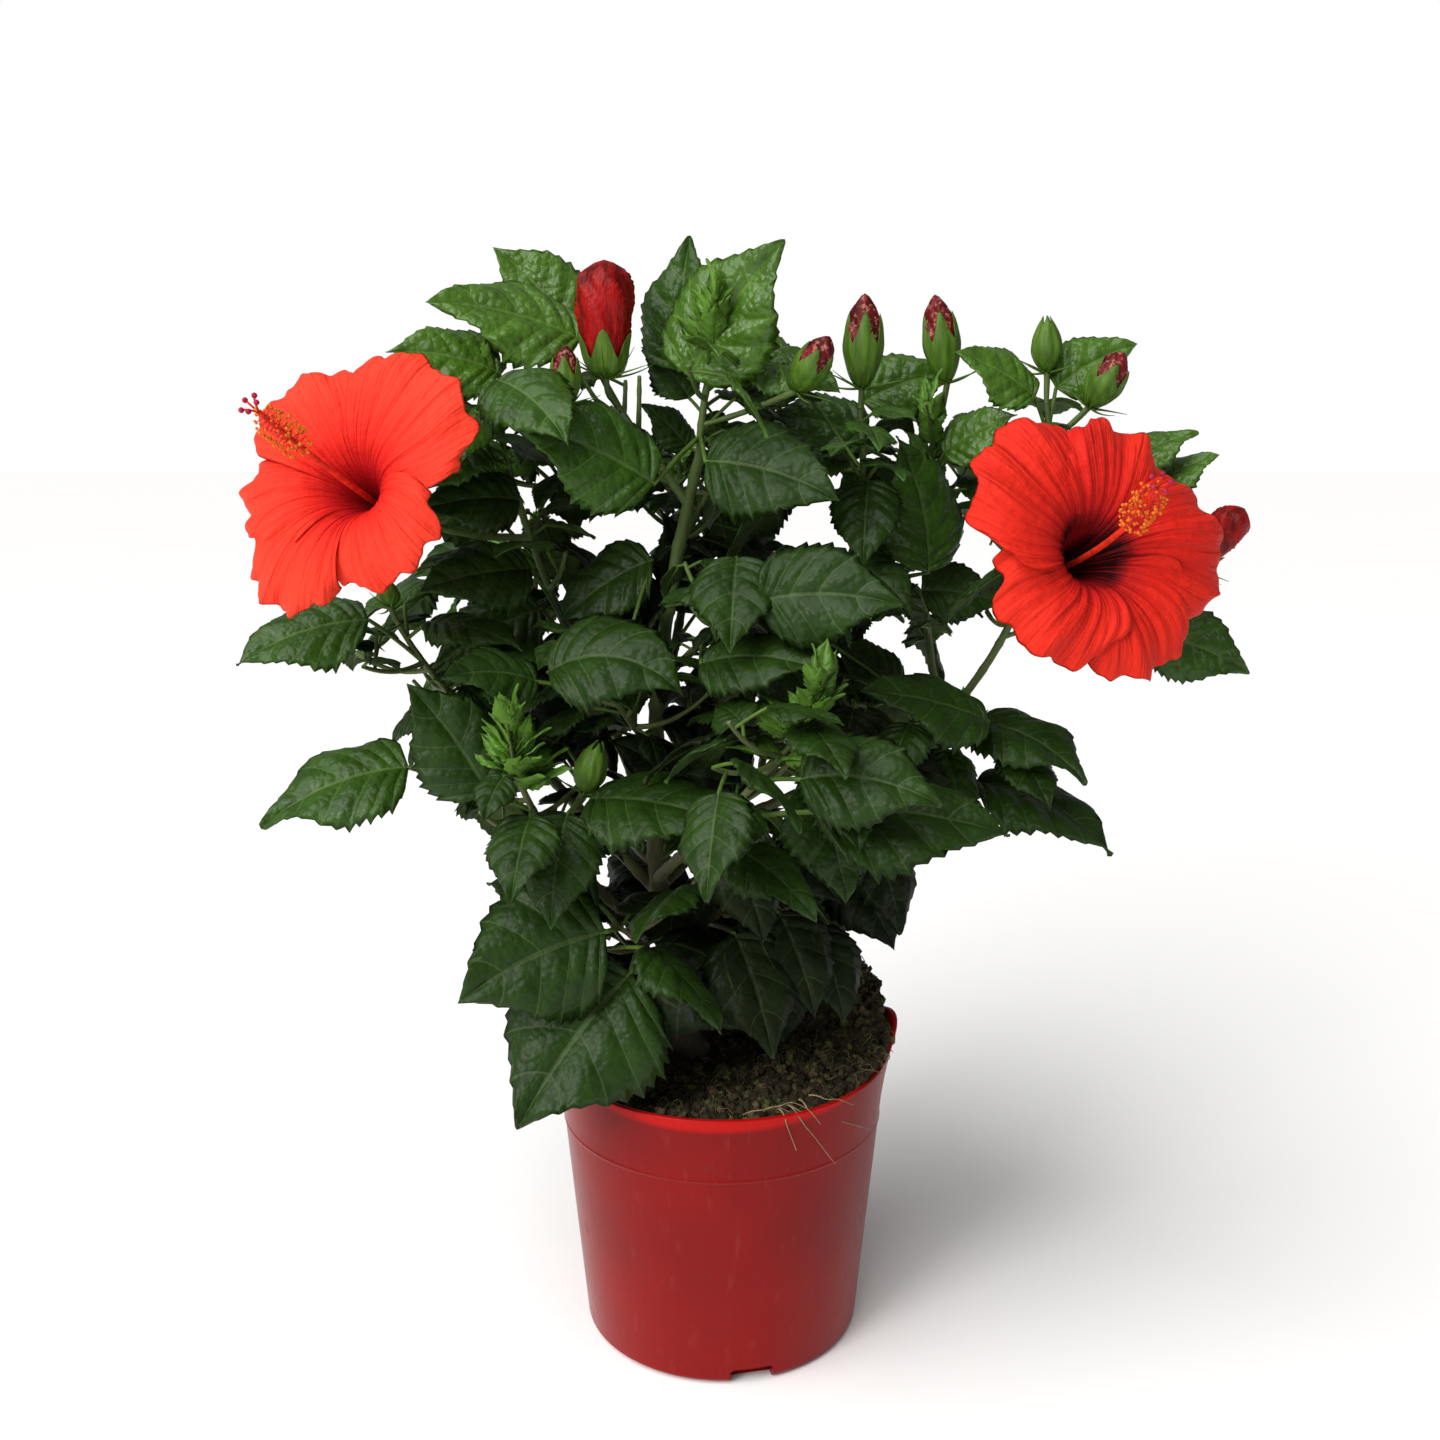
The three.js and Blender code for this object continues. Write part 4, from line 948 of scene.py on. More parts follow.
def blade_rows(veins):
    """Where the rows meet the edge, how far the edge stands out there, and which rows bound a vein."""
    rows, teeth, vein_rows = [0.0], [0.0], []
    tooth = 0.5 / veins
    for k in range(2 * veins):
        start = k * tooth
        if k:
            rows.append(start)
            teeth.append(0.0)
        rows.append(start + TOOTH_FOOT * tooth)
        teeth.append(0.5 if k % 2 else 0.5 * SMALL_TOOTH)
        tip = start + TOOTH_TIP * tooth
        if k % 2:
            vein_rows.append(len(rows))
            rows += [tip - VEIN_HALF, tip + VEIN_HALF]
            teeth += [1.0, 1.0]
        else:
            rows.append(tip)
            teeth.append(SMALL_TOOTH)
    return np.array(rows), np.array(teeth), vein_rows


class BladeGrid:
    """The grid that every blade shares: shares of length and half width, lifts, and triangles."""

    def __init__(self, veins, top_columns, bottom_columns):
        rows, teeth, vein_rows = blade_rows(veins)
        top = np.array([-a for a in top_columns[:0:-1]] + top_columns)
        bottom = np.array([-a for a in bottom_columns[:0:-1]] + bottom_columns)[1:-1]
        marks = np.append(0.0, rows[vein_rows] + VEIN_HALF)
        nearest = marks[np.searchsorted(marks, rows, side="right") - 1]
        between = (rows - nearest) * veins
        u, a = np.meshgrid(rows[1:], np.append(top, bottom), indexing="ij")
        reach = np.abs(a)
        middle = u - VEIN_SLANT * np.sin(math.pi * u)
        self.s = np.clip(middle + (u - middle) * reach**1.15, 0, 1)
        self.t = a
        fade = np.clip((1 - rows[1:]) / TOOTHLESS, 0, 1)[:, None]
        drawn = 1 - DRAWN_IN * np.clip((self.s - DRAWN_FROM) / (1 - DRAWN_FROM), 0, 1)
        self.stretch = drawn + TOOTH_DEPTH * (teeth[1:, None] - 0.35) * reach**3 * fade
        along, across = (np.sin(math.pi * np.clip(part, 0, 1)) for part in (between[1:, None], reach))
        self.bulge = BULGE * along * across**0.6
        is_bottom = np.arange(a.shape[1]) >= len(top)
        self.sink = np.where(is_bottom, -1.0, 0.0)[None, :] + np.zeros_like(a)
        self.wave = EDGE_WAVE * reach**2.5 * np.sign(a)
        self.u = u
        self.shape = a.shape
        self._faces(len(top), len(bottom), vein_rows)

    def _faces(self, top, bottom, vein_rows):
        rows, columns = self.shape
        base, tip = rows * columns, rows * columns + 1
        upper = [list(range(r * columns, r * columns + top)) for r in range(rows)]
        lower = [[row[0], *range(row[0] + top, row[0] + top + bottom), row[-1]] for row in upper]
        faces, slots = [], []
        vein_cells = {r - 1 for r in vein_rows}
        for sheet, under in ((upper, False), (lower, True)):
            last = len(sheet[0]) - 1
            for j in range(last):
                rib = not under and j in (last // 2 - 1, last // 2)
                ends = [(base, sheet[0][j + 1], sheet[0][j]), (tip, sheet[-1][j], sheet[-1][j + 1])]
                for a, b, c in ends:
                    faces.append((a, b, c) if not under else (a, c, b))
                    slots.append(2 if under else int(rib))
                for r in range(rows - 1):
                    a, b, c, d = sheet[r][j], sheet[r][j + 1], sheet[r + 1][j + 1], sheet[r + 1][j]
                    cell = [(a, b, c), (a, c, d)]
                    faces += cell if not under else [f[::-1] for f in cell]
                    slots += [2 if under else int(rib or r in vein_cells)] * 2
        self.faces, self.slots = np.array(faces), np.array(slots)

    def points(self, leaf, phase, broader):
        """The grid laid on one leaf, with its own wave along the edge."""
        ripple = self.wave * np.sin(2 * math.pi * (EDGE_WAVES * self.u + phase))
        thick = self.sink * LEAF_THICK * (1 - self.t**2)
        lift = (self.bulge + ripple) * leaf.blade + thick
        laid = leaf.at(self.s.ravel(), self.t.ravel(), lift.ravel(), broader * self.stretch.ravel())
        ends = leaf.at(np.array([0.0, 1.0]), np.zeros(2))
        return np.vstack([laid, ends])


broad_blade = BladeGrid(VEINS, TOP_COLUMNS, BOTTOM_COLUMNS)
# The dark inner leaves and the tiny young ones need fewer veins and columns
inner_blade = BladeGrid(5, [0.0, 0.04, 0.32, 0.68, 1.0], BOTTOM_COLUMNS)
young_blade = BladeGrid(4, [0.0, 0.08, 0.5, 1.0], [0.0, 1.0])
for label, blade in (("broad", broad_blade), ("inner", inner_blade), ("young", young_blade)):
    print("triangles of a", label, "blade:", len(blade.faces))

# %% [markdown]
# Limbs are tubes along lines. A geometry tree makes them: each line becomes a curve, a ring is swept along
# it at the girth stored on its points, and noise pushes the surface out and in as bark relief. The tree has
# named inputs, so thin stalks and the bark of the trunk come from the same recipe.

# %% Recipes in geometry nodes
class Recipe(Graph):
    """A geometry tree with named inputs, which ends in Realize Instances and Set Material."""

    def __init__(self, name, **sizes):
        super().__init__(bpy.data.node_groups.new(name, "GeometryNodeTree"))
        face = self.tree.interface
        face.new_socket("Geometry", in_out="OUTPUT", socket_type="NodeSocketGeometry")
        face.new_socket("Geometry", in_out="INPUT", socket_type="NodeSocketGeometry")
        for label, value in sizes.items():
            kind = "NodeSocketInt" if isinstance(value, int) else "NodeSocketFloat"
            face.new_socket(label, in_out="INPUT", socket_type=kind).default_value = value
        face.new_socket("Material", in_out="INPUT", socket_type="NodeSocketMaterial")
        self.start = self.tree.nodes.new("NodeGroupInput")

    def input(self, label):
        return Value(self, self.start.outputs[label])

    def end(self, shape):
        real = self.node("GeometryNodeRealizeInstances", {}, {0: shape})
        smooth = self.node("GeometryNodeSetShadeSmooth", {}, {0: real, "Shade Smooth": True})
        done = self.node("GeometryNodeSetMaterial", {}, {0: smooth, "Material": self.input("Material")})
        self.tree.links.new(done.socket, self.tree.nodes.new("NodeGroupOutput").inputs[0])
        return self

    def vector(self, operation, *inputs):
        return self.node("ShaderNodeVectorMath", {"operation": operation}, dict(enumerate(inputs)))

    def piece(self, name, base, finish, **sizes):
        """Runs the recipe on a base mesh and turns what it makes into a plain piece."""
        work = new_object(name + "_base", base)
        modifier = work.modifiers.new("recipe", "NODES")
        modifier.node_group = self.tree
        values = {**sizes, "Material": finish.material}
        for item in self.tree.interface.items_tree:
            if item.in_out == "INPUT" and item.name in values:
                modifier[item.identifier] = values[item.name]
        seen = bpy.context.evaluated_depsgraph_get()
        mesh = bpy.data.meshes.new_from_object(work.evaluated_get(seen))
        bpy.data.objects.remove(work)
        mesh.name = name
        return new_object(name, mesh)

    def scatter(self, thing, least, most, turned=None):
        """Copies of a thing over the surface, sized by chance, that stand out of it or are turned."""
        seed = self.input("Seed")
        placed = {"Mesh": self.input("Geometry"), "Density": self.input("Density"), "Seed": seed}
        points = self.node("GeometryNodeDistributePointsOnFaces", {}, placed)
        outward = Value(self, points.socket.node.outputs["Rotation"])
        sizes = {2: least, 3: most, "Seed": seed}
        size = self.node("FunctionNodeRandomValue", {"data_type": "FLOAT"}, sizes, output=1)
        set_out = {"Points": points, "Instance": thing, "Rotation": turned or outward, "Scale": size}
        return self.end(self.node("GeometryNodeInstanceOnPoints", {}, set_out))


def limb_recipe():
    """Tubes along the lines of a mesh, with the relief of bark."""
    recipe = Recipe("limbs_along_lines", Sides=8, Relief=0.0, Grain=400.0)
    curve = recipe.node("GeometryNodeMeshToCurve", {}, {0: recipe.input("Geometry")})
    ring = {"Resolution": recipe.input("Sides"), "Radius": 1.0}
    profile = recipe.node("GeometryNodeCurvePrimitiveCircle", {}, ring)
    girth = recipe.node("GeometryNodeInputNamedAttribute", {"data_type": "FLOAT"}, {"Name": "girth"})
    swept = {"Curve": curve, "Profile Curve": profile, "Scale": girth, "Fill Caps": True}
    tube = recipe.node("GeometryNodeCurveToMesh", {}, swept)
    place = recipe.node("GeometryNodeInputPosition")
    stretched = recipe.vector("MULTIPLY", place, (1.0, 1.0, 0.35))
    rough = recipe.noise(stretched, recipe.input("Grain"), 2.0) - 0.5
    outward = recipe.node("GeometryNodeInputNormal")
    pushed = {0: outward, "Scale": rough * recipe.input("Relief")}
    push = recipe.node("ShaderNodeVectorMath", {"operation": "SCALE"}, pushed)
    return recipe.end(recipe.node("GeometryNodeSetPosition", {}, {0: tube, "Offset": push}))


limbs_along_lines = limb_recipe()


class Lines:
    """Lines with a girth at each point, which the limb recipe turns into a piece."""

    def __init__(self):
        self.points, self.girths, self.edges = [], [], []

    def add(self, points, girths):
        first = len(self.points)
        self.points += [tuple(MM * c for c in p) for p in points]
        self.girths += [MM * g for g in girths]
        self.edges += [(first + i, first + i + 1) for i in range(len(points) - 1)]

    def mesh(self, name):
        mesh = bpy.data.meshes.new(name)
        mesh.from_pydata(self.points, self.edges, [])
        girth = mesh.attributes.new("girth", "FLOAT", "POINT")
        girth.data.foreach_set("value", self.girths)
        return mesh

    def piece(self, name, finish, slot, nodes, **sizes):
        made = limbs_along_lines.piece(name, self.mesh(name + "_lines"), finish, **sizes)
        stand_in(made, slot, *nodes)


print("recipe:", limbs_along_lines.tree.name)

# %% [markdown]
# Hibiscus bark is grey-tan and finely ridged at the foot, and turns to smooth olive green higher up. Each
# place where a leaf or a limb leaves is a small swelling, a node, which gives the stems their jointed look.

# %% Trunk and boughs
# The trunk starts a little below the compost and flares there
TRUNK_START = -0.02
TRUNK_FLARE = 3.4
FLARE_SHARE = 0.08
BARK_FROM = 0.118
NODE_SWELL = 0.16
NODE_STEP = 13.0


def jointed(limb, step, flare=0.0, start=0.0):
    """Points along a limb and its radius there, with a swelling every few millimetres."""
    length = limb.length()
    shares = np.linspace(start, 1, max(6, int(length / step)))
    radii = limb.radius(shares) + flare * np.exp(-shares.clip(0) / FLARE_SHARE)
    beat = np.cos(2 * math.pi * shares * length / NODE_STEP)
    radii *= 1 + NODE_SWELL * np.clip(beat, 0, 1) ** 6
    return limb.at(shares), radii


def bark_finish():
    finish = Finish("green_bark", roughness=0.62)
    height = finish.node("ShaderNodeSeparateXYZ", {}, {0: finish.place}, output=2)
    patchy = finish.noise(finish.place, 120.0) * 0.35 - 0.17
    share = (height - BARK_FROM) * 4.5 + patchy
    stops = [
        (0.0, rgb(0.040, 0.030, 0.015)),
        (0.12, rgb(0.085, 0.068, 0.034)),
        (0.3, rgb(0.135, 0.120, 0.052)),
        (0.5, rgb(0.095, 0.115, 0.034)),
        (0.9, rgb(0.066, 0.110, 0.018)),
    ]
    finish.set(base_color=finish.ramp(share, stops))
    finish.bump(finish.noise(finish.place, 900.0, 5.0), 0.0007, 0.5)
    return finish


bark = bark_finish()
trunk_line, bough_lines = Lines(), Lines()
trunk_line.add(*jointed(trunk, 1.2, TRUNK_FLARE, TRUNK_START))
trunk_line.piece("trunk_bark", bark, "bark", ["trunk"], Sides=28, Relief=0.0014, Grain=260.0)
for bough in boughs.values():
    bough_lines.add(*jointed(bough, 1.6))
bough_lines.piece("bough_bark", bark, "bark", BOUGHS, Sides=16, Relief=0.0005, Grain=380.0)

# %% [markdown]
# Stems and twigs are green and smooth. Every leaf hangs on a stalk that arches to its blade and runs on under
# it as the midrib, tapering to the tip, so the blade looks carried rather than glued on.

# %% Twigs, stalks and midribs
TUFT_SPIKES = 10
TUFT_LEAFLETS = 18
TUFT_RISE = 0.65
TUFT_STALK = 2.5
TUFT_BEND = 22
SHOOT_RADII = (1.0, 0.5)
# Their size as a share of the tuft's
SPIKE_SIZE, LEAFLET_SIZE = (0.35, 0.3), (0.5, 0.4)
# How far a shoot leans, to the right and away from the eye
TUFT_LEAN = (0, -9)
TUFT_LEANS = {"leaves_right_back": (-9, -30)}
SPIKE_WIDTH = 0.26
LEAFLET_WIDTH = 0.9


def leaves_sky_open(leaf):
    return not in_sky(leaf.blade_samples(), YOUNG_FROM_SKY)


def grow_spikes(mass, seed, size, lean):
    """A shoot beyond a stem's end: folded leaflets and slim spikes that stand up close together."""
    luck = Luck(seed + SEEDS["shoot"])
    tip = mass.stem.tip
    shoot = Limb(mass.stem.at(0.7), tip, tip + np.array([*lean, TUFT_RISE * size]), *SHOOT_RADII)
    mass.twigs.append(shoot)
    for k in range(TUFT_SPIKES + TUFT_LEAFLETS):
        is_spike = k >= TUFT_LEAFLETS
        high = luck.next()
        heading, pitch = YOUNG_TURN * k + luck.spread(25), 28 + 55 * high + luck.spread(8)
        blade = size * luck.above(*(SPIKE_SIZE if is_spike else LEAFLET_SIZE)) * (1.15 - 0.4 * high)
        way = (heading, pitch)
        grown = Leaf(shoot.at(high), *way, TUFT_STALK, *way, blade, TUFT_BEND, luck.spread(40))
        grown.broader = SPIKE_WIDTH if is_spike else LEAFLET_WIDTH
        if leaves_sky_open(grown):
            mass.spikes.append(grown)


for name, (_, size) in TUFTS.items():
    masses[name].young = [leaf for leaf in masses[name].young if leaves_sky_open(leaf)]
    grow_spikes(masses[name], MASSES[name][3], size, TUFT_LEANS.get(name, TUFT_LEAN))
print("tufts:", [len(mass.spikes) for mass in masses.values() if mass.spikes])


def stalk_line(leaf, radius, rib_reach=0.85):
    """The stalk from its node to the blade, and on along the midrib's underside."""
    sag = (leaf.base - leaf.node) * 0.5 + np.array([0, 0, 0.04 * leaf.stalk])
    arch = Limb(leaf.node, leaf.node + sag, leaf.base, radius, radius)
    shares = np.linspace(0.04, rib_reach, 9)
    rib = leaf.at(shares, np.zeros_like(shares), -0.35 - 0.5 * radius * (1 - shares))
    points = np.vstack([arch.at(np.linspace(0, 1, 7)), rib])
    girths = [radius] * 7 + [max(0.12, radius * 0.85 * (1 - s / rib_reach)) for s in shares]
    return points, girths


twig_lines, stalk_lines = Lines(), Lines()
for mass in masses.values():
    twig_lines.add(*jointed(mass.stem, 2.0))
    for twig in mass.twigs:
        twig_lines.add(*jointed(twig, 2.5))
    for leaf in mass.leaves:
        stalk_lines.add(*stalk_line(leaf, 0.45 + 0.009 * leaf.blade))
    for leaf in mass.young:
        stalk_lines.add(*stalk_line(leaf, 0.45, 0.5))
    for bud in mass.buds:
        arch = Limb(bud.node, (bud.node + bud.base) / 2 + np.array([0, 0, -2]), bud.base, 1.0, 1.3)
        twig_lines.add(*jointed(arch, 3.0))
for bloom in blooms.values():
    twig_lines.add(*jointed(bloom.stalk, 2.0))

twig_lines.piece("twigs", bark, "bark", [*LEAFY, *FLOWERS], Sides=8, Relief=0.0002)
stalk_lines.piece("leaf_stalks", stalk_green, "foliage", LEAFY, Sides=6)

# %% [markdown]
# The leaves are dealt a tint by where they grow, as painted light and shade: the low and inner ones are
# painted dark as shaded, the high and outer ones lighter as lit, and the young ones at the stem ends are the
# brightest, in their own colour. The leaves of one tint are joined into few pieces, none too large to export.
# The darkest stand deep inside, so they have a plainer blade.

# %% Leaves
# The crown's axis, foot, height and reach, by which a leaf is high or low, and inside or outside
CROWN_AXIS = np.array([-10, 10])
CROWN_FOOT = 150
CROWN_HEIGHT = 290
CROWN_REACH = 130
# What height, distance from the axis and luck add to a leaf's light, and the most light for each tint
HIGH_LIGHT, OUT_LIGHT, LIGHT_STRAY = 0.62, 0.45, 0.14
TINT_STEPS = [("shade", 0.44), ("deep", 0.75), ("full", 0.94)]
# The topmost leaves and the two over the pot get some more light
TOP_FROM = 0.72
TOP_LIGHT = 0.32
FRONT_LIGHT = 0.19
OVER_POT = "skirt_left"
YOUNG_WIDTH = 0.8
LARGEST_PIECE = 190000
TINT_SEED = 77


def tint_of(leaf, luck, bonus):
    """The tint of a leaf, its painted light and shade, from how high and how far out its blade lies."""
    middle = leaf.at([0.5], [0.0])[0]
    high = (middle[2] - CROWN_FOOT) / CROWN_HEIGHT
    out = np.linalg.norm(middle[:2] - CROWN_AXIS) / CROWN_REACH
    light = HIGH_LIGHT * high + OUT_LIGHT * out + luck.spread(LIGHT_STRAY) + bonus
    light += TOP_LIGHT * min(max((high - TOP_FROM) / (1 - TOP_FROM), 0), 1)
    return next((tint for tint, limit in TINT_STEPS if light < limit), "fresh")


def put(heaps, leaf, blade, phase, broader):
    """Adds a leaf to the last of some heaps, or to a new one where that would grow too large."""
    if heaps[-1].size() + len(blade.faces) > LARGEST_PIECE:
        heaps.append(Gathered())
    heaps[-1].add(blade.points(leaf, phase, broader), blade.faces, blade.slots)


def make_leaves():
    luck = Luck(TINT_SEED)
    heaps = {tint: [Gathered()] for tint in TINTS}
    for name, mass in masses.items():
        broader, bonus = (BROADEST, FRONT_LIGHT) if name == OVER_POT else (BROADER, 0.0)
        for leaf in mass.leaves:
            tint = tint_of(leaf, luck, bonus)
            blade = inner_blade if tint == "shade" else broad_blade
            put(heaps[tint], leaf, blade, luck.next(), broader)
        for leaf in mass.young:
            leaf.broader = YOUNG_WIDTH
        for leaf in mass.young + mass.spikes:
            put(heaps["young"], leaf, young_blade, luck.next(), leaf.broader)
    for tint, grown in heaps.items():
        for k, heap in enumerate(grown):
            piece = heap.piece(f"leaves_{tint}_{k + 1}", leaf_finishes[tint])
            stand_in(piece, "foliage", *LEAFY)


make_leaves()

# %% [markdown]
# A petal and a calyx are thin sheets with a face and a back that meet along the edge. This helper closes two
# grids of points into one such sheet. A sheet that runs round an axis has no edge where it meets itself.

# %% Thin closed sheets
def cells(at):
    """Two triangles for each cell of a grid of point numbers."""
    a, b, c, d = at[:-1, :-1], at[:-1, 1:], at[1:, 1:], at[1:, :-1]
    return np.stack([a, b, c, a, c, d], -1).reshape(-1, 3)


def sheet_faces(rows, columns, ring=False):
    """Triangles of two grids that share their border: the face first, then the back's inner points."""
    upper = np.arange(rows * columns).reshape(rows, columns)
    lower = upper.copy()
    inner = lower[1:-1] if ring else lower[1:-1, 1:-1]
    inner[...] = rows * columns + np.arange(inner.size).reshape(inner.shape)
    if ring:
        upper, lower = (np.hstack([at, at[:, :1]]) for at in (upper, lower))
    return np.concatenate([cells(upper), cells(lower)[:, ::-1]])


def sheet_values(face, back, ring=False):
    """The points of such a sheet, or other values of its two grids, in the order that its faces use."""
    inner = back[1:-1] if ring else back[1:-1, 1:-1]
    return np.concatenate([grid.reshape(-1, grid.shape[-1]) for grid in (face, inner)])


def welded(points, faces):
    """Merges the points that coincide at a seam or a pole, and leaves out the faces that vanish with them."""
    _, first, same = np.unique(points.round(4), axis=0, return_index=True, return_inverse=True)
    faces = same.ravel()[faces]
    whole = (faces != np.roll(faces, 1, axis=1)).all(axis=1)
    return points[first], faces[whole]


print("a sheet of 3 by 3 points has", len(sheet_faces(3, 3)), "triangles")

# %% [markdown]
# The blooms are an orange red that darkens to maroon in the throat, with fine veins that fan out to the rim;
# the right one's near-black middle is partly painted shade.
# The pattern follows each petal, so it reads the petal's own UV map: U runs from throat to rim, V across.

# %% Petal finishes
THROAT_TONES = {
    "flower_left": [
        (0.0, rgb(0.36, 0.004, 0.008)),
        (0.12, rgb(0.54, 0.008, 0.011)),
        (0.24, rgb(0.72, 0.018, 0.013)),
        (0.40, rgb(0.84, 0.030, 0.016)),
        (0.62, rgb(0.87, 0.038, 0.018)),
        (1.0, rgb(0.90, 0.052, 0.025)),
    ],
    # The right bloom's near-black middle is partly its own dark eye and partly painted shade of its deep
    # throat
    "flower_right": [
        (0.0, rgb(0.006, 0.0, 0.001)),
        (0.18, rgb(0.011, 0.0, 0.001)),
        (0.22, rgb(0.12, 0.002, 0.003)),
        (0.27, rgb(0.42, 0.008, 0.006)),
        (0.42, rgb(0.58, 0.015, 0.008)),
        (1.0, rgb(0.67, 0.024, 0.010)),
    ],
}

STREAKS = {"flower_left": 0.25, "flower_right": 0.6}


def petal_finish(name, streaks):
    """A petal's face: its throat's tones, blushes and veins, of which streaks says how many show."""
    finish = Finish(name.replace("flower", "petal_red"), roughness=0.6, specular_ior_level=0.1)
    across = finish.node("ShaderNodeTexCoord", output=2)
    fan = finish.node("ShaderNodeMapping", {}, {"Vector": across, "Scale": (1.1, 26.0, 1.0)})
    veins = finish.noise(fan, 1.0, 3.0, Distortion=0.4)
    reach = finish.node("ShaderNodeSeparateXYZ", {}, {0: across})
    plain = finish.ramp(reach + (veins - 0.5) * 0.035, THROAT_TONES[name])
    blush = ((finish.noise(finish.place, 28.0, 2.0) - 0.5) * 4.0).clamped() * streaks
    plain = finish.mix(blush, plain, rgb(0.52, 0.008, 0.009))
    streak = ((veins - 0.5) * 3.4).clamped() * streaks
    finish.set(base_color=finish.mix(streak, plain, rgb(0.42, 0.006, 0.006)))
    crumple = finish.noise(finish.place, 170.0, 3.0)
    finish.bump(veins + crumple * 0.7, 0.0024, 0.9)
    return finish


def soft_finish(name, colour, roughness, stretch=1.0):
    """A plain small-part finish with a fine uneven surface, drawn out upwards where it is ribbed."""
    finish = Finish(name, roughness=roughness, specular_ior_level=0.22)
    drawn = finish.node("ShaderNodeMapping", {}, {"Vector": finish.place, "Scale": (1.0, 1.0, stretch)})
    mottle = ((finish.noise(drawn, 420.0) - 0.35) * 3.0).clamped()
    finish.set(base_color=finish.mix(mottle, darker(colour, 0.55), colour))
    finish.bump(finish.noise(drawn, 900.0), 0.0005, 0.4)
    return finish


def bud_finish(name, colour, fleck, share):
    """A rolled bud: folded, painted with shade between the folds, flecked where the petals' backs catch the
    light.
    """
    finish = Finish(name, roughness=0.42, specular_ior_level=0.15)
    tall = finish.node("ShaderNodeMapping", {}, {"Vector": finish.place, "Scale": (1.0, 1.0, 0.25)})
    crease = finish.noise(tall, 210.0, 3.0)
    # Painted shade: the body is darker where the crease noise is low, between the folds
    body = finish.mix(((crease - 0.36) * 4.0).clamped(), darker(colour, 0.28), colour)
    flecks = ((finish.noise(finish.place, 560.0, 2.0) - 0.54) * 8.0).clamped() * share
    finish.set(base_color=finish.mix(flecks, body, fleck))
    finish.bump(crease, 0.0022, 0.9)
    return finish


petal_reds = {name: petal_finish(name, streaks) for name, streaks in STREAKS.items()}
furled_red = bud_finish("furled_petal", rgb(0.30, 0.004, 0.004), rgb(0.50, 0.06, 0.04), 0.1)
tip_red = bud_finish("bud_tip", rgb(0.15, 0.007, 0.009), rgb(0.46, 0.17, 0.12), 0.7)
calyx_green = soft_finish("calyx_green", rgb(0.082, 0.175, 0.014), 0.5, stretch=0.12)
column_pink = soft_finish("column_pink", rgb(0.82, 0.032, 0.012), 0.6)
pollen_yellow = soft_finish("pollen_yellow", rgb(0.86, 0.20, 0.014), 0.8)
stigma_red = soft_finish("stigma_red", rgb(0.45, 0.010, 0.050), 0.6)
print("petal and bud finishes: 8")

# %% [markdown]
# Five broad petals leave the throat, each with one edge over its neighbour and the other under it, like a
# pinwheel. They widen, ruffle and roll back towards the rim. All of that is worked out for each point from
# how far out and how far across the petal it is.

# %% Petals
PETALS = 5
PETAL_ROWS = 56
PETAL_COLUMNS = 65
PETAL_THICK = 0.5
THROAT = {"radius": 1.6, "rise": -17.0, "opens": 8.0}
# For each petal: the direction of its middle as seen from in front, how far it spreads either side, its reach
BLOOM_SHAPES = {
    "flower_left": {
        "petals": [(48, 46, 53), (122, 42, 48), (190, 40, 45), (236, 34, 52), (312, 50, 41)],
        "depth": 9, "ruffle": 2.3, "wrinkle": 0.30, "seed": 3,
    },
    "flower_right": {
        "petals": [(134, 50, 55), (64, 44, 52), (4, 40, 57), (300, 44, 48), (226, 54, 45)],
        "depth": 13, "ruffle": 3.2, "wrinkle": 0.5, "seed": 9,
    },
}


def petal_grid(bloom, shape, k, luck, lift):
    """The points of one petal's face, or of its back when it is let down, and their UVs."""
    s, t = np.meshgrid(np.linspace(0, 1, PETAL_ROWS), np.linspace(-1, 1, PETAL_COLUMNS), indexing="ij")
    middle, spread, reach = shape["petals"][k]
    phase, bias = luck
    # The outline draws in at its sides and is finely wavy at the rim
    radius = THROAT["radius"] + (reach - THROAT["radius"]) * s**0.95
    radius *= 1 - (0.20 + 0.10 * bias) * s**2.5 * np.abs(t + 0.16 * (bias - 0.5)) ** 2.6
    radius += s**5 * (1.5 * np.sin(13 * t + phase) + 0.5 * np.sin(29 * t - phase) + 0.15 * np.sin(53 * t))
    half_angle = np.radians(spread) * (1.08 - 0.15 * s + 0.13 * np.sin(math.pi * s**0.8))
    angle = math.radians(middle) + half_angle * t + 0.05 * np.sin(5 * s + phase)
    # The petal leaves the throat steeply, rolls back at the rim, and tilts so that one edge is on top
    opened = 1 - np.exp(-s * reach / THROAT["opens"])
    rise = THROAT["rise"] + (shape["depth"] + 20) * opened - 5.0 * s**5 * (1 + bias)
    rise += 2.2 * t * (0.05 + 0.95 * s)
    # Large ruffles, small ones at the rim, and fine folds from the throat outwards
    rise += shape["ruffle"] * s**2.0 * np.sin(2.6 * math.pi * t + phase) * (0.5 + 0.5 * np.abs(t))
    rise += 0.5 * shape["ruffle"] * s**6 * np.sin(15 * t + 2 * phase + 4 * bias)
    folds = np.sin(26 * t + phase + 2 * s) + 0.6 * np.sin(43 * t - 2 * phase + 5 * s)
    rise += shape["wrinkle"] * folds * np.sin(math.pi * np.clip(s * 1.05, 0, 1)) ** 0.7
    rise += lift * np.sin(math.pi * s) ** 0.3
    return bloom.point(radius, angle, rise), np.stack([s, 0.5 + 0.5 * t + 1.7 * k], -1)


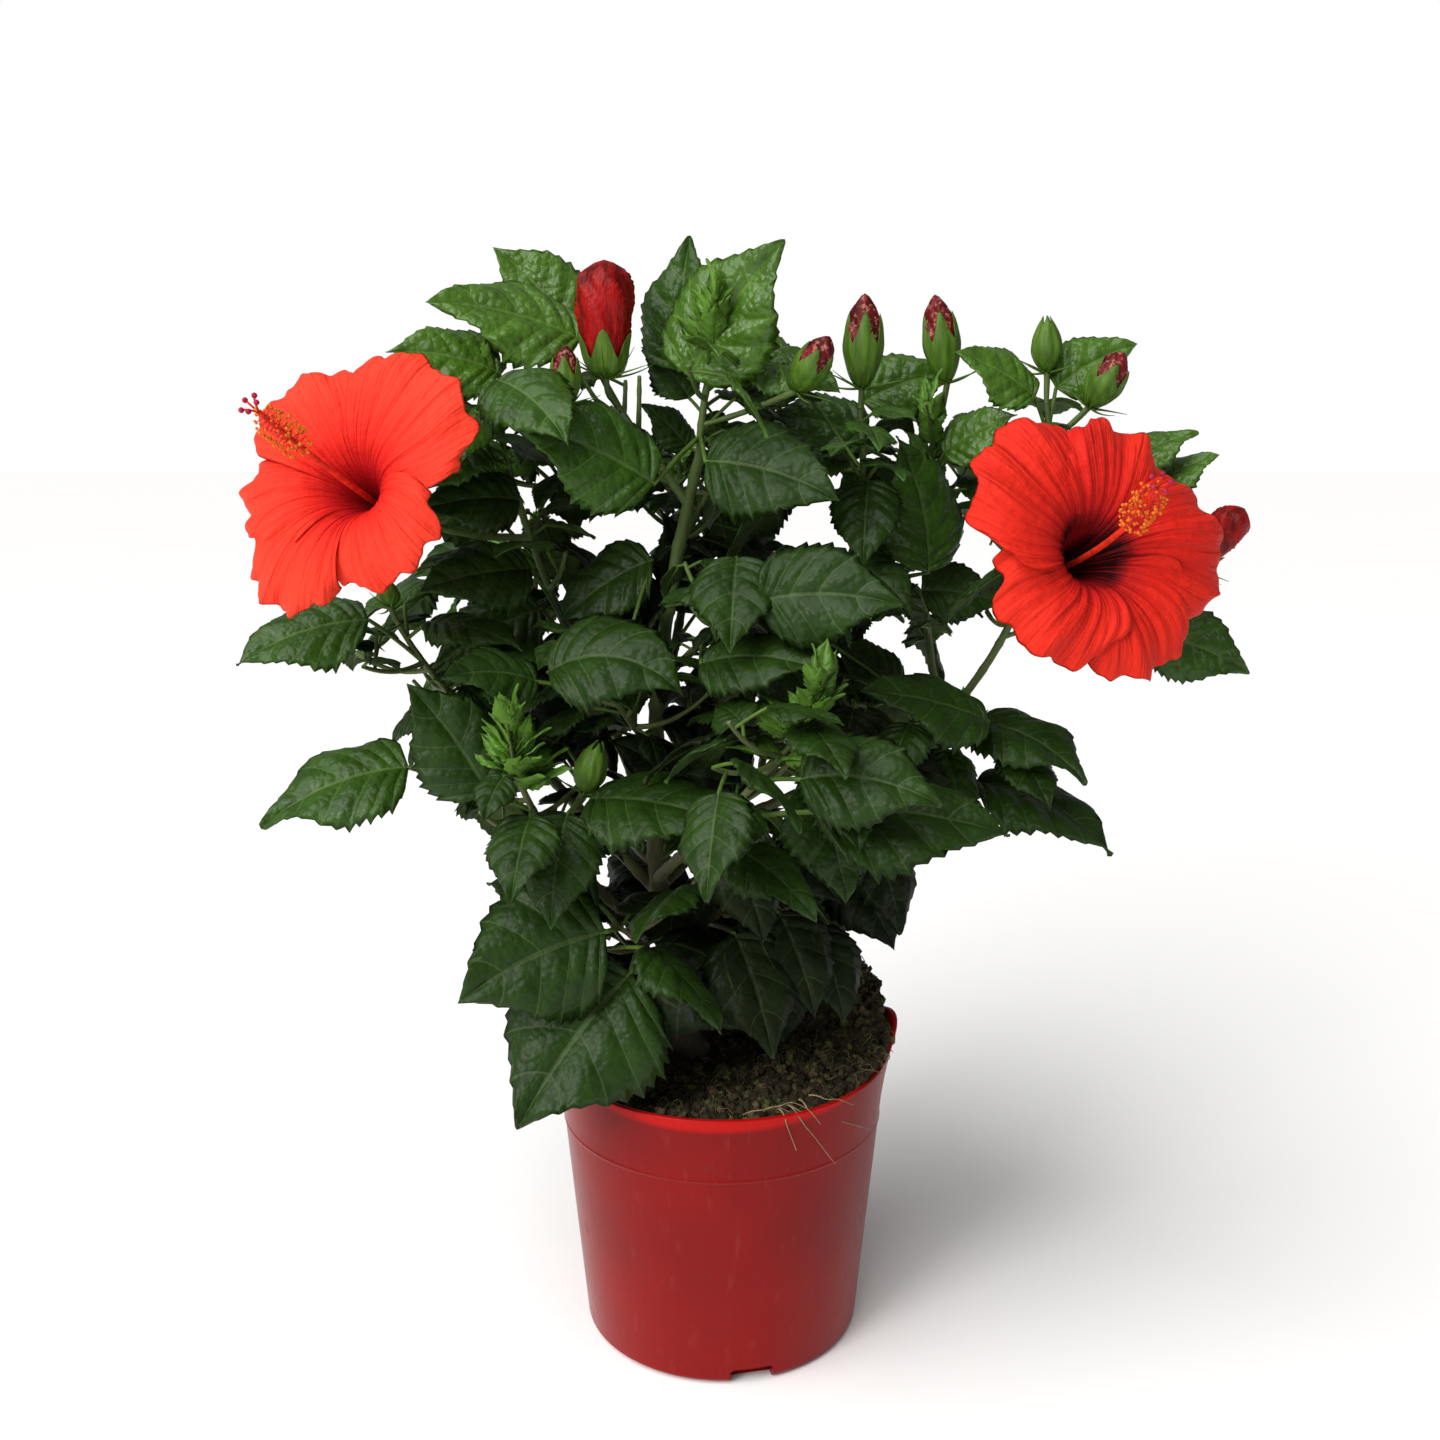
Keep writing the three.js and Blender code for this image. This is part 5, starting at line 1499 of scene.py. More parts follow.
def make_petals(name, bloom):
    shape = BLOOM_SHAPES[name]
    luck = Luck(shape["seed"])
    faces = sheet_faces(PETAL_ROWS, PETAL_COLUMNS)
    grown, marks = Gathered(), []
    for k in range(PETALS):
        chance = (2 * math.pi * luck.next(), luck.next())
        face, uv = petal_grid(bloom, shape, k, chance, PETAL_THICK / 2)
        back, _ = petal_grid(bloom, shape, k, chance, -PETAL_THICK / 2)
        border = (face + back) / 2
        for grid in (face, back):
            grid[[0, -1]], grid[:, [0, -1]] = border[[0, -1]], border[:, [0, -1]]
        grown.add(sheet_values(face, back), faces)
        marks.append(sheet_values(uv, uv))
    piece = grown.piece(name.replace("flower", "petals"), [petal_reds[name]])
    add_uv(piece, np.concatenate(marks))
    stand_in(piece, "petals", name)


def add_uv(piece, marks):
    """Gives a piece a UV map from a pair of numbers for each vertex."""
    loops = np.empty(len(piece.data.loops), np.int32)
    piece.data.loops.foreach_get("vertex_index", loops)
    layer = piece.data.uv_layers.new(name="along_and_across")
    layer.data.foreach_set("uv", marks[loops].astype(np.float32).ravel())


for name, bloom in blooms.items():
    make_petals(name, bloom)

# %% [markdown]
# A calyx is a green cup with five pointed lobes, and a ring of thin bracts stands round its foot. Buds have
# the same calyx closed round the rolled petals, so buds and blooms share these functions.

# %% Calyx, bracts and buds
CUP_ROWS = 22
CUP_SIDES = 40
# The calyx's outer and inner face, measured from the petals
CUP_OUTER, CUP_INNER = 0.75, 0.15
BLOOM_CUP_WIDE = 19
BRACTS = 8
ROLL_ROWS = 34
ROLL_COLUMNS = 49
# How far the rolled petals twist from foot to tip, in radians
ROLL_TWIST = {"furled": 2.6, "opening": 3.4}


def axes_round(along):
    """Two directions square to an axis and to each other."""
    side = unit(np.cross([0, 0.3, 1] if abs(along[2]) < 0.9 else [1, 0, 0], along))
    return side, np.cross(along, side)


def turned_grid(base, along, radius, rise, angle):
    """Points round an axis from grids of radius, rise and angle."""
    side, up = axes_round(along)
    radius, rise, angle = (v[..., None] for v in (radius, rise, angle))
    return base + along * rise + (side * np.cos(angle) + up * np.sin(angle)) * radius


def profile(shares, stops):
    """A smooth profile through a few stops of share and width."""
    at, wide = zip(*stops)
    fine = np.linspace(0, 1, 41)
    rough = np.interp(fine, at, wide)
    soft = np.convolve(np.pad(rough, 3, mode="edge"), np.ones(7) / 7, mode="valid")
    return np.interp(shares, fine, soft)


PROFILES = {
    "furled": [(0, 0.46), (0.12, 0.70), (0.35, 0.88), (0.7, 1.0), (0.88, 0.84), (0.96, 0.56), (1, 0.16)],
    "opening": [(0, 0.34), (0.14, 0.64), (0.42, 1.0), (0.7, 0.88), (0.9, 0.5), (1, 0.14)],
    "green": [(0, 0.38), (0.15, 0.72), (0.38, 1.0), (0.65, 0.82), (0.9, 0.35), (1, 0.05)],
    "bloom": [(0, 0.42), (0.3, 0.62), (0.65, 0.82), (1, 1.0)],
}
# How far up the calyx reaches between its lobes and at their tips
CALYX_REACH = {"furled": (0.14, 0.38), "opening": (0.46, 0.80), "green": (0.84, 1.0), "bloom": (0.5, 0.98)}


def rounded_foot(s):
    """Closes a turned body at its foot, where s is 0."""
    return np.sqrt(1 - (1 - s) ** 10)


def calyx_grid(base, along, long, wide, kind, lift):
    """A cup that ends in five lobes, and is a little ribbed."""
    turns = np.linspace(0, 2 * math.pi, CUP_SIDES, endpoint=False)
    s, turn = np.meshgrid(np.linspace(0, 1, CUP_ROWS), turns, indexing="ij")
    low, high = CALYX_REACH[kind]
    lobe = np.abs(np.cos(2.5 * turn)) ** 1.6
    share = s * (low + (high - low) * lobe)
    radius = wide / 2 * profile(share, PROFILES[kind]) * (1 + 0.045 * np.cos(10 * turn)) + lift
    return turned_grid(base, along, radius * rounded_foot(s), share * long, turn)


def add_calyx(grown, base, along, long, wide, kind):
    outer, inner = (calyx_grid(base, along, long, wide, kind, lift) for lift in (CUP_OUTER, CUP_INNER))
    faces = sheet_faces(CUP_ROWS, CUP_SIDES, ring=True)[:, ::-1]
    grown.add(*welded(sheet_values(outer, inner, ring=True), faces))


def add_bracts(lines, base, along, length, radius):
    """Thin curved bracts round the foot of a calyx, no two alike."""
    side, up = axes_round(along)
    for k in range(BRACTS):
        angle = 2 * math.pi * k / BRACTS + 0.3 * math.sin(7 * k)
        out = side * math.cos(angle) + up * math.sin(angle)
        bend = base + out * length * 0.5 + along * length * (0.05 + 0.15 * math.sin(3 * k))
        tip = base + out * length * 0.95 + along * length * (0.45 + 0.3 * math.sin(5 * k))
        bract = Limb(base + out * radius, bend, tip, 0.6, 0.1)
        shares = np.linspace(0, 1, 8)
        lines.add(bract.at(shares), bract.radius(shares))


def add_rolled_petals(grown, bud):
    """The petals of a bud, rolled round each other into a twisted spindle."""
    turns = np.linspace(0, 2 * math.pi, ROLL_COLUMNS)
    s, turn = np.meshgrid(np.linspace(0, 1, ROLL_ROWS), turns, indexing="ij")
    twist = turn + ROLL_TWIST[bud.kind] * s
    fold = np.abs(np.mod(twist * PETALS / (2 * math.pi), 1.0) - 0.15)
    crease = 0.22 * np.clip(fold, 0, 1) * np.clip(1.6 * s, 0, 1)
    crumple = 0.06 * np.sin(9 * twist + 14 * s) * s**2 + 0.02 * np.sin(23 * twist - 9 * s)
    radius = bud.wide / 2 * profile(s, PROFILES[bud.kind]) * (0.94 + crease + crumple)
    radius *= rounded_foot(s) * np.sqrt(1 - s**24)
    points = turned_grid(bud.base, bud.along, radius, s * bud.long, turn)
    faces = cells(np.arange(ROLL_ROWS * ROLL_COLUMNS).reshape(ROLL_ROWS, ROLL_COLUMNS))[:, ::-1]
    grown.add(*welded(points.reshape(-1, 3), faces))


calyxes, furled, opening, bract_lines = Gathered(), Gathered(), Gathered(), Lines()
for bud in all_buds:
    add_calyx(calyxes, bud.base, bud.along, bud.long, bud.wide, bud.kind)
    add_bracts(bract_lines, bud.base, bud.along, 7 + 0.32 * bud.long, 1.2)
    if bud.kind != "green":
        add_rolled_petals(furled if bud.kind == "furled" else opening, bud)
for bloom in blooms.values():
    foot = bloom.throat - bloom.axis * CALYX_LENGTH
    add_calyx(calyxes, foot, bloom.axis, CALYX_LENGTH, BLOOM_CUP_WIDE, "bloom")
    add_bracts(bract_lines, foot, bloom.axis, 15, 3)

with_buds = [name for name, mass in masses.items() if mass.buds]
stand_in(calyxes.piece("calyxes", [calyx_green]), "foliage", *with_buds, *FLOWERS)
stand_in(furled.piece("furled_petals", [furled_red]), "petals", *with_buds)
stand_in(opening.piece("bud_tips", [tip_red]), "petals", *with_buds)
bract_lines.piece("bracts", calyx_green, "foliage", [*with_buds, *FLOWERS], Sides=5)

# %% [markdown]
# From the throat rises the column: a slim red tube whose last third bristles with pollen-tipped stamens, and
# which ends in five short arms with round stigmas. The stamens repeat over the tube's surface, so a geometry
# tree scatters them.

# %% Column, stamens and stigmas
COLUMN = {"length": 52, "radius": 1.2, "stamens_from": 0.68, "stamens_to": 0.96, "foot": 14}
# How the column's end strays from the bloom's axis: sideways and up
COLUMN_STRAY = {"flower_left": (-9, 9), "flower_right": (-7, 10)}
COLUMN_SLIMMER = 0.8
ARMS = 5
ARM_GIRTH = 0.38
STIGMA = 1.0
# Thin threads with no tip stand between the stamens
THREADS = 70
THREAD_TURN = 2.4
THREAD_LENGTH, THREAD_STRAY = 3.6, 0.6
THREAD_GIRTHS = [0.22, 0.16]
THREAD_SEED = 31


def stamen_recipe():
    """Stamens over a tube: a thin stalk with a round tip, pointing out of the surface."""
    recipe = Recipe("stamens_over_tube", Density=980000.0, Length=0.0036, Tip=0.00060, Seed=4)
    tip = recipe.node("GeometryNodeMeshIcoSphere", {}, {"Radius": recipe.input("Tip"), "Subdivisions": 1})
    lift = recipe.node("ShaderNodeCombineXYZ", {}, {"Z": recipe.input("Length")})
    raised = recipe.node("GeometryNodeTransform", {}, {"Geometry": tip, "Translation": lift})
    return recipe.scatter(raised, 0.6, 1.25)


def column_of(name, bloom):
    """The column's curve, from inside the calyx to its end beside the bloom's axis."""
    aside, up = COLUMN_STRAY[name]
    end = bloom.throat + bloom.axis * COLUMN["length"] + bloom.side * aside + np.array([0, 0, up])
    foot = bloom.throat - bloom.axis * COLUMN["foot"]
    middle = bloom.throat + bloom.axis * COLUMN["length"] / 2
    return Limb(foot, middle, end, COLUMN["radius"], COLUMN["radius"] * COLUMN_SLIMMER)


column_lines, stamen_lines, stigmas = Lines(), Lines(), Gathered()
ball = bmesh.new()
bmesh.ops.create_icosphere(ball, subdivisions=2, radius=STIGMA)
ball_points = np.array([v.co for v in ball.verts])
ball_faces = np.array([[v.index for v in f.verts] for f in ball.faces])
ball.free()


def add_arms(column, along, side, up):
    """Five short arms that bend outwards from the column's end, each with a round stigma."""
    fork = column.tip - along
    for k in range(ARMS):
        out = side * math.cos(2 * math.pi * k / ARMS) + up * math.sin(2 * math.pi * k / ARMS)
        arm = Limb(fork, fork + along * 4 + out, fork + along * 5.5 + out * 3.4, ARM_GIRTH, ARM_GIRTH)
        column_lines.add(arm.at(np.linspace(0, 1, 6)), np.full(6, ARM_GIRTH))
        stigmas.add(ball_points + arm.tip, ball_faces)


def add_threads(column, along, side, up):
    luck = Luck(THREAD_SEED)
    low, high = COLUMN["stamens_from"], COLUMN["stamens_to"]
    for k in range(THREADS):
        out = side * math.cos(THREAD_TURN * k) + up * math.sin(THREAD_TURN * k)
        start = column.at(low + (high - low) * k / (THREADS - 1))
        end = start + out * (THREAD_LENGTH + luck.spread(THREAD_STRAY)) + along * THREAD_STRAY
        column_lines.add([start, end], THREAD_GIRTHS)


for name, bloom in blooms.items():
    column = column_of(name, bloom)
    shares = np.linspace(0, 1, 24)
    column_lines.add(column.at(shares), column.radius(shares))
    zone = np.linspace(COLUMN["stamens_from"], COLUMN["stamens_to"], 12)
    stamen_lines.add(column.at(zone), np.full(12, COLUMN["radius"] * 1.1))
    along = unit(column.tip - column.at(0.95))
    add_arms(column, along, *axes_round(along))
    add_threads(column, along, *axes_round(along))
column_lines.piece("columns", column_pink, "petals", FLOWERS, Sides=7)
stand_in(stigmas.piece("stigmas", [stigma_red]), "petals", *FLOWERS)
tube = limbs_along_lines.piece("stamen_tube", stamen_lines.mesh("stamen_tube"), column_pink, Sides=8)
stamens = stamen_recipe().piece("stamens", tube.data, pollen_yellow)
bpy.data.objects.remove(tube)
stand_in(stamens, "petals", *FLOWERS)

# %% [markdown]
# The pot is a thin plastic nursery pot, moulded in one piece: slightly conical, with a fine raised ring under
# its plain rim and notches at the foot that let water out. A lathe profile with small rounded corners gives
# the highlights that a real moulding has. The notches are cut by a Boolean, whose cutters go away afterwards.
# On the right the root ball has pressed the rim outwards.

# %% Pot
BASE_RADIUS = 58.6
WALL = 2.2
FLOOR = 3
BAND_HEIGHT = 95
BAND_RELIEF = 0.45
BAND_HALF = 0.9
FOOT_ROUND = 2.5
NOTCHES = 3
NOTCH_SIZE = (16, 18, 14)
NOTCH_ROUND = 2.2
FIRST_NOTCH = -78
POT_SIDES = 160
CORNER = 0.55
# How the root ball presses the rim out
PRESS = {"angle": 12, "spread": 17, "from": 101, "reach": 7.5, "rise": 9}


def wall_at(height):
    return BASE_RADIUS + (RIM_RADIUS - BASE_RADIUS) * height / POT_HEIGHT


def rounded(stops, size):
    """A profile with each corner replaced by a small arc of four points."""
    made = [np.array(stops[0], float)]
    for before, corner, after in zip(stops, stops[1:], stops[2:]):
        before, corner, after = (np.array(p, float) for p in (before, corner, after))
        first, last = before - corner, after - corner
        reach = min(size, 0.4 * np.linalg.norm(first), 0.4 * np.linalg.norm(last))
        start, end = corner + unit(first) * reach, corner + unit(last) * reach
        for share in (0, 1 / 3, 2 / 3, 1):
            made.append((1 - share) ** 2 * start + 2 * share * (1 - share) * corner + share**2 * end)
    return np.array(made + [np.array(stops[-1], float)])


def closed_rings(grid, foot, top):
    """A closed body from rings of points, capped by a point at each end."""
    rings, sides = grid.shape[:2]
    points = np.concatenate([grid.reshape(-1, 3), [foot, top]])
    k = np.arange(sides)
    after = (k + 1) % sides
    faces = [np.stack([np.full(sides, len(points) - 2), after, k], 1)]
    for row in range(rings - 1):
        low, high = row * sides, (row + 1) * sides
        faces.append(np.stack([low + k, low + after, high + after], 1))
        faces.append(np.stack([low + k, high + after, high + k], 1))
    last = (rings - 1) * sides
    faces.append(np.stack([np.full(sides, len(points) - 1), last + k, last + after], 1))
    return points, np.concatenate(faces)


def lathe(stops, sides):
    """A closed body turned from a profile whose two ends lie on the axis."""
    angles = np.linspace(0, 2 * math.pi, sides, endpoint=False)
    made = rounded(stops, CORNER)[1:-1]
    rings = [[[radius * math.cos(a), radius * math.sin(a), z] for a in angles] for radius, z in made]
    return closed_rings(np.array(rings), (0, 0, stops[0][1]), (0, 0, stops[-1][1]))


def pot_profile():
    foot = [(0, 0), (BASE_RADIUS - FOOT_ROUND, 0), (wall_at(FOOT_ROUND), FOOT_ROUND)]
    band = [
        (wall_at(BAND_HEIGHT - BAND_HALF), BAND_HEIGHT - BAND_HALF),
        (wall_at(BAND_HEIGHT) + BAND_RELIEF, BAND_HEIGHT),
        (wall_at(BAND_HEIGHT + BAND_HALF), BAND_HEIGHT + BAND_HALF),
    ]
    upper = [(wall_at(z), z) for z in (102, 107, 111, 115, 118)]
    lip = [(RIM_RADIUS, POT_HEIGHT), (RIM_RADIUS - WALL, POT_HEIGHT)]
    inner = [(wall_at(z) - WALL, z) for z in (118, 114, 109, 103)]
    return foot + band + upper + lip + inner + [(wall_at(FLOOR) - WALL, FLOOR), (0, FLOOR)]


def pressed_out(points):
    """Bends the rim outwards and up where the root ball has pressed it."""
    x, y, z = points.T
    turn = np.arctan2(y, x) - math.radians(PRESS["angle"])
    near_rim = np.clip((z - PRESS["from"]) / (POT_HEIGHT - PRESS["from"]), 0, 1) ** 1.6
    share = np.exp(-((turn / math.radians(PRESS["spread"])) ** 2)) * near_rim
    out = 1 + share * PRESS["reach"] / RIM_RADIUS
    return np.stack([x * out, y * out, z + share * PRESS["rise"]], 1)


# The glow's lower edge, in metres: a shallow curve across the front
GLOW = {"aside": 0.004, "curve": 1.3, "height": 0.1160}


def pot_finish():
    finish = Finish("pot_plastic", specular_ior_level=0.13)
    split = finish.node("ShaderNodeSeparateXYZ", {}, {0: finish.place})
    aside, height = split, Value(finish, split.socket.node.outputs[2])
    tall = finish.node("ShaderNodeMapping", {}, {"Vector": finish.place, "Scale": (1.0, 1.0, 0.25)})
    cloud = finish.noise(finish.place, 22.0, 2.0)
    scuff = ((finish.noise(tall, 260.0, 6.0) - 0.6) * 6.0).clamped()
    specks = ((finish.noise(finish.place, 420.0, 2.0) - 0.70) * 14.0).clamped()
    # Painted light: below 60 mm the pot is painted a brighter red, more so towards its foot
    low = ((0.060 - height) * 9.0).clamped()
    body = finish.mix((cloud * 1.6 - 0.3).clamped(), rgb(0.155, 0.0040, 0.0040), rgb(0.225, 0.0040, 0.0036))
    body = finish.mix(low * 0.6, body, rgb(0.31, 0.0034, 0.0026))
    # Light comes through the thin wall above the compost: a crescent of brighter red under the rim in front
    across = aside + GLOW["aside"]
    edge = across * across * GLOW["curve"] + GLOW["height"]
    glow = ((height - edge) * 420.0).clamped()
    body = finish.mix(glow, body, rgb(0.42, 0.004, 0.003))
    scuffed = finish.mix(scuff * 0.06, body, rgb(0.50, 0.20, 0.17))
    finish.set(base_color=finish.mix(specks * 0.5, scuffed, rgb(0.07, 0.03, 0.02)))
    finish.set(roughness=cloud * 0.16 + scuff * 0.15 + 0.22)
    finish.bump(finish.noise(tall, 300.0, 5.0) * 0.3 + finish.noise(finish.place, 30.0), 0.0010, 0.25)
    return finish


pot_plastic = pot_finish()
shell_points, shell_faces = lathe(pot_profile(), POT_SIDES)
pot_piece = mesh_piece("pot_shell", pressed_out(shell_points), shell_faces, [pot_plastic])
cutters = []
for k in range(NOTCHES):
    angle = math.radians(FIRST_NOTCH + k * 360 / NOTCHES)
    box = bmesh.new()
    bmesh.ops.create_cube(box, size=1.0)
    bmesh.ops.scale(box, vec=[MM * side for side in NOTCH_SIZE], verts=box.verts)
    edges = [e for e in box.edges if abs(e.verts[0].co.x - e.verts[1].co.x) > 0.001]
    bmesh.ops.bevel(box, geom=edges, offset=MM * NOTCH_ROUND, segments=4, profile=0.5, affect="EDGES")
    bmesh.ops.translate(box, vec=(MM * (BASE_RADIUS + 1), 0, 0), verts=box.verts)
    bmesh.ops.rotate(box, cent=(0, 0, 0), matrix=Matrix.Rotation(angle, 3, "Z"), verts=box.verts)
    cutter_mesh = bpy.data.meshes.new("notch_cutter")
    box.to_mesh(cutter_mesh)
    box.free()
    cutter = new_object("notch_cutter", cutter_mesh)
    cutters.append(cutter)
    cut = pot_piece.modifiers.new("notch", "BOOLEAN")
    cut.operation, cut.object, cut.solver = "DIFFERENCE", cutter, "EXACT"
seen = bpy.context.evaluated_depsgraph_get()
cut_mesh = bpy.data.meshes.new_from_object(pot_piece.evaluated_get(seen))
pot_piece.modifiers.clear()
pot_piece.data = cut_mesh
for cutter in cutters:
    bpy.data.objects.remove(cutter)
pot_piece.data.set_sharp_from_angle(angle=math.radians(40))
stand_in(pot_piece, "pot", "pot")

# %% [markdown]
# The plant stands in a loose, peaty mix heaped up on the right, where it spills over the rim. A fine uneven
# surface carries the shape, and crumbs of three tones scattered over it by a geometry tree make it loose.
# Short crooked strands of moss and root run through it all.

# %% Compost
SPILL = {"angle": 15, "spread": 30, "reach": 6.5, "rise": 7}
# Strands lie from this ring of the ground's grid inwards over so many more, most of them near the edge
STRAND_ROWS = (4, 44)
SOIL_SIDES = 220
SOIL_FOOT = 3.4
SHOULDER = 106
EDGE_DROP = 3.0
LUMPS = [(10.0, 3.6), (4.5, 2.8), (2.2, 1.1)]


def lumps(x, y):
    """An uneven height from a few sets of waves that cross each other."""
    height = np.zeros_like(x)
    for k, (length, size) in enumerate(LUMPS):
        for turn in (0.4, 1.7, 2.9):
            u = x * math.cos(turn + k) + y * math.sin(turn + k)
            v = y * math.cos(turn + k) - x * math.sin(turn + k)
            wander = np.sin(v / length * 0.8 + 2.1 * k)
            height += size / 3 * np.sin(2 * math.pi * u / (length * 2.3) + 1.8 * wander + turn)
    return height


def spilled(angle):
    turn = np.mod(angle - math.radians(SPILL["angle"]) + math.pi, 2 * math.pi) - math.pi
    return np.exp(-((turn / math.radians(SPILL["spread"])) ** 2))


def compost_surface():
    """Points of the compost from the foot of the root ball, up its side, over the rim and to the middle."""
    angle = np.linspace(0, 2 * math.pi, SOIL_SIDES, endpoint=False)
    over = spilled(angle)
    wall = RIM_RADIUS - WALL - 0.6
    edge_height = np.where(over * SPILL["reach"] > 0.4, POT_HEIGHT + 0.4, GROUND_LEVEL - EDGE_DROP)
    even = np.ones(SOIL_SIDES)
    rows = [
        (even * (wall_at(SOIL_FOOT) - WALL - 8.4), even * SOIL_FOOT),
        (even * (wall_at(SHOULDER) - WALL - 1.0), even * SHOULDER),
        (even * (wall - 0.6), edge_height - 0.2),
    ]
    for share in (0.35, 0.7, 1.0, 1.05):
        reach = wall + SPILL["reach"] * over * share
        rows.append((reach, edge_height + over * (1.2 if share < 1.05 else 3.5)))
    for share in np.linspace(0.985, 0.02, 60):
        reach = (wall - 0.5 + SPILL["reach"] * over) * share
        x, y = reach * np.cos(angle), reach * np.sin(angle)
        from_trunk = np.hypot(x - TRUNK["root"][0], y - TRUNK["root"][1])
        level = np.clip((from_trunk - 6) / 12, 0, 1)
        height = GROUND_LEVEL + level * (ground_height(x, y) - GROUND_LEVEL + lumps(x, y))
        low = edge_height + 1 + SPILL["rise"] * over
        near_edge = np.clip((share - 0.86) / 0.12, 0, 1)
        rows.append((reach, np.maximum(height, np.where(over > 0.05, low * near_edge, 0))))
    radius, height = (np.array(part) for part in zip(*rows))
    grid = np.stack([radius * np.cos(angle), radius * np.sin(angle), height], -1)
    return grid, (0, 0, SOIL_FOOT), (0, 0, grid[-1, :, 2].mean())


def peat_finish(name, dark, pale):
    finish = Finish(name, roughness=0.95, specular_ior_level=0.2)
    patch = finish.noise(finish.place, 420.0, 5.0)
    finish.set(base_color=finish.mix((patch * 2.6 - 0.8).clamped(), dark, pale))
    finish.bump(finish.noise(finish.place, 900.0, 6.0), 0.0022, 0.9)
    return finish


def crumb_recipe():
    """Crumbs over a surface: small uneven stones, each turned and sized by chance."""
    recipe = Recipe("crumbs_over_ground", Density=90000.0, Size=0.0016, Seed=1)
    stone = recipe.node("GeometryNodeMeshIcoSphere", {}, {"Radius": recipe.input("Size"), "Subdivisions": 2})
    rough = recipe.noise(recipe.node("GeometryNodeInputPosition"), 700.0, 2.0) - 0.5
    outward = recipe.node("GeometryNodeInputNormal")
    push = recipe.vector("MULTIPLY", outward, (1.0, 1.0, 0.8))
    pushed = {0: push, "Scale": rough * 3.0 * recipe.input("Size")}
    moved = recipe.node("ShaderNodeVectorMath", {"operation": "SCALE"}, pushed)
    stone = recipe.node("GeometryNodeSetPosition", {}, {0: stone, "Offset": moved})
    turn = {0: (-3.1, -3.1, -3.1), 1: (3.1, 3.1, 3.1), "Seed": recipe.input("Seed")}
    turned = recipe.node("FunctionNodeRandomValue", {"data_type": "FLOAT_VECTOR"}, turn)
    return recipe.scatter(stone, 0.25, 1.35, turned)


peat = peat_finish("peat", rgb(0.020, 0.016, 0.008), rgb(0.085, 0.070, 0.034))
ground_grid, ground_foot, ground_top = compost_surface()
ground = mesh_piece("compost", *closed_rings(ground_grid, ground_foot, ground_top), [peat])
stand_in(ground, "soil", "soil")

# %% Crumbs
# Deeper than this, at the pot's wall and on steep faces there are no crumbs
CRUMB_DEPTH = 2.5
WALL_GAP = 2.6
RIM_GAP = 1.5
STEEP = 0.05
# For each tone: its dark and pale colour, how many crumbs to the square metre, and their radius
CRUMBS = {
    "dark": (rgb(0.012, 0.009, 0.005), rgb(0.060, 0.044, 0.024), 52000.0, 0.0021),
    "brown": (rgb(0.050, 0.036, 0.018), rgb(0.16, 0.115, 0.060), 30000.0, 0.0018),
    "moss": (rgb(0.040, 0.044, 0.014), rgb(0.16, 0.165, 0.050), 22000.0, 0.0016),
}
CRUMB_SEED = 11


def open_face():
    """A copy of the compost's mesh without the faces that lie deep, steep or at the wall."""
    mesh, cut = ground.data.copy(), bmesh.new()
    cut.from_mesh(mesh)
    deep = MM * (GROUND_LEVEL - CRUMB_DEPTH)
    inside = MM * (RIM_RADIUS - WALL - WALL_GAP)
    for f in list(cut.faces):
        middle = f.calc_center_median()
        at_wall = middle.to_2d().length > inside and middle.z < MM * (POT_HEIGHT + RIM_GAP)
        if middle.z < deep or f.normal.z < STEEP or at_wall:
            cut.faces.remove(f)
    cut.to_mesh(mesh)
    cut.free()
    return mesh


crumbs, open_mesh = crumb_recipe(), open_face()
for k, (tone, (dark, pale, density, size)) in enumerate(CRUMBS.items()):
    finish = peat_finish(f"crumb_{tone}", dark, pale)
    sizes = {"Density": density, "Size": size, "Seed": CRUMB_SEED + k}
    piece = crumbs.piece(f"crumbs_{tone}", open_mesh, finish, **sizes)
    stand_in(piece, "soil", "soil")

# %% Strands
# For each kind: how many, their length, girth and seed
STRANDS = {"moss": (900, 7.0, 0.30, 21), "root": (240, 12.0, 0.22, 22)}
STRAND_COLOURS = {"moss": rgb(0.085, 0.085, 0.030), "root": rgb(0.17, 0.12, 0.060)}


def strand_lines(count, reach, girth, seed):
    """Crooked strands that lie over the ground, with their ends in it."""
    lines, luck = Lines(), Luck(seed)
    angles = np.arctan2(ground_grid[..., 1], ground_grid[..., 0])[0]
    for _ in range(count):
        column = int(luck.next() * SOIL_SIDES)
        row = STRAND_ROWS[0] + int(luck.next() ** 1.6 * STRAND_ROWS[1])
        middle = ground_grid[row, column]
        heading = angles[column] + math.pi / 2 + luck.spread(1.6)
        along = np.array([math.cos(heading), math.sin(heading), luck.spread(0.35)])
        aside = np.array([-along[1], along[0], 0])
        half = reach * (0.4 + 0.6 * luck.next()) / 2
        bow, twist = luck.spread(0.9), 2 + 5 * luck.next()
        shares = np.linspace(-1, 1, 9)
        rise = girth + 2.6 * (1 - shares**2) * luck.next() - 0.9 * shares**2
        wave = bow * (1 - shares**2) + 0.18 * np.sin(twist * shares)
        points = middle + np.outer(shares * half, along) + np.outer(wave * half, aside)
        points[:, 2] += rise
        in_wall = np.hypot(points[:, 0], points[:, 1]) > RIM_RADIUS - WALL - 1
        if not (in_wall & (points[:, 2] < POT_HEIGHT + 0.5)).any():
            lines.add(points, girth * (1 - 0.5 * np.abs(shares)))
    return lines


for tone, (count, reach, girth, seed) in STRANDS.items():
    strands = strand_lines(count, reach, girth, seed)
    finish = soft_finish(f"strand_{tone}", STRAND_COLOURS[tone], 0.9)
    strands.piece(f"strands_{tone}", finish, "soil", ["soil"], Sides=5)

# %% [markdown]
# A few dry fibres lie over the edge where the mix has spilled: fine pale roots that came up with it.

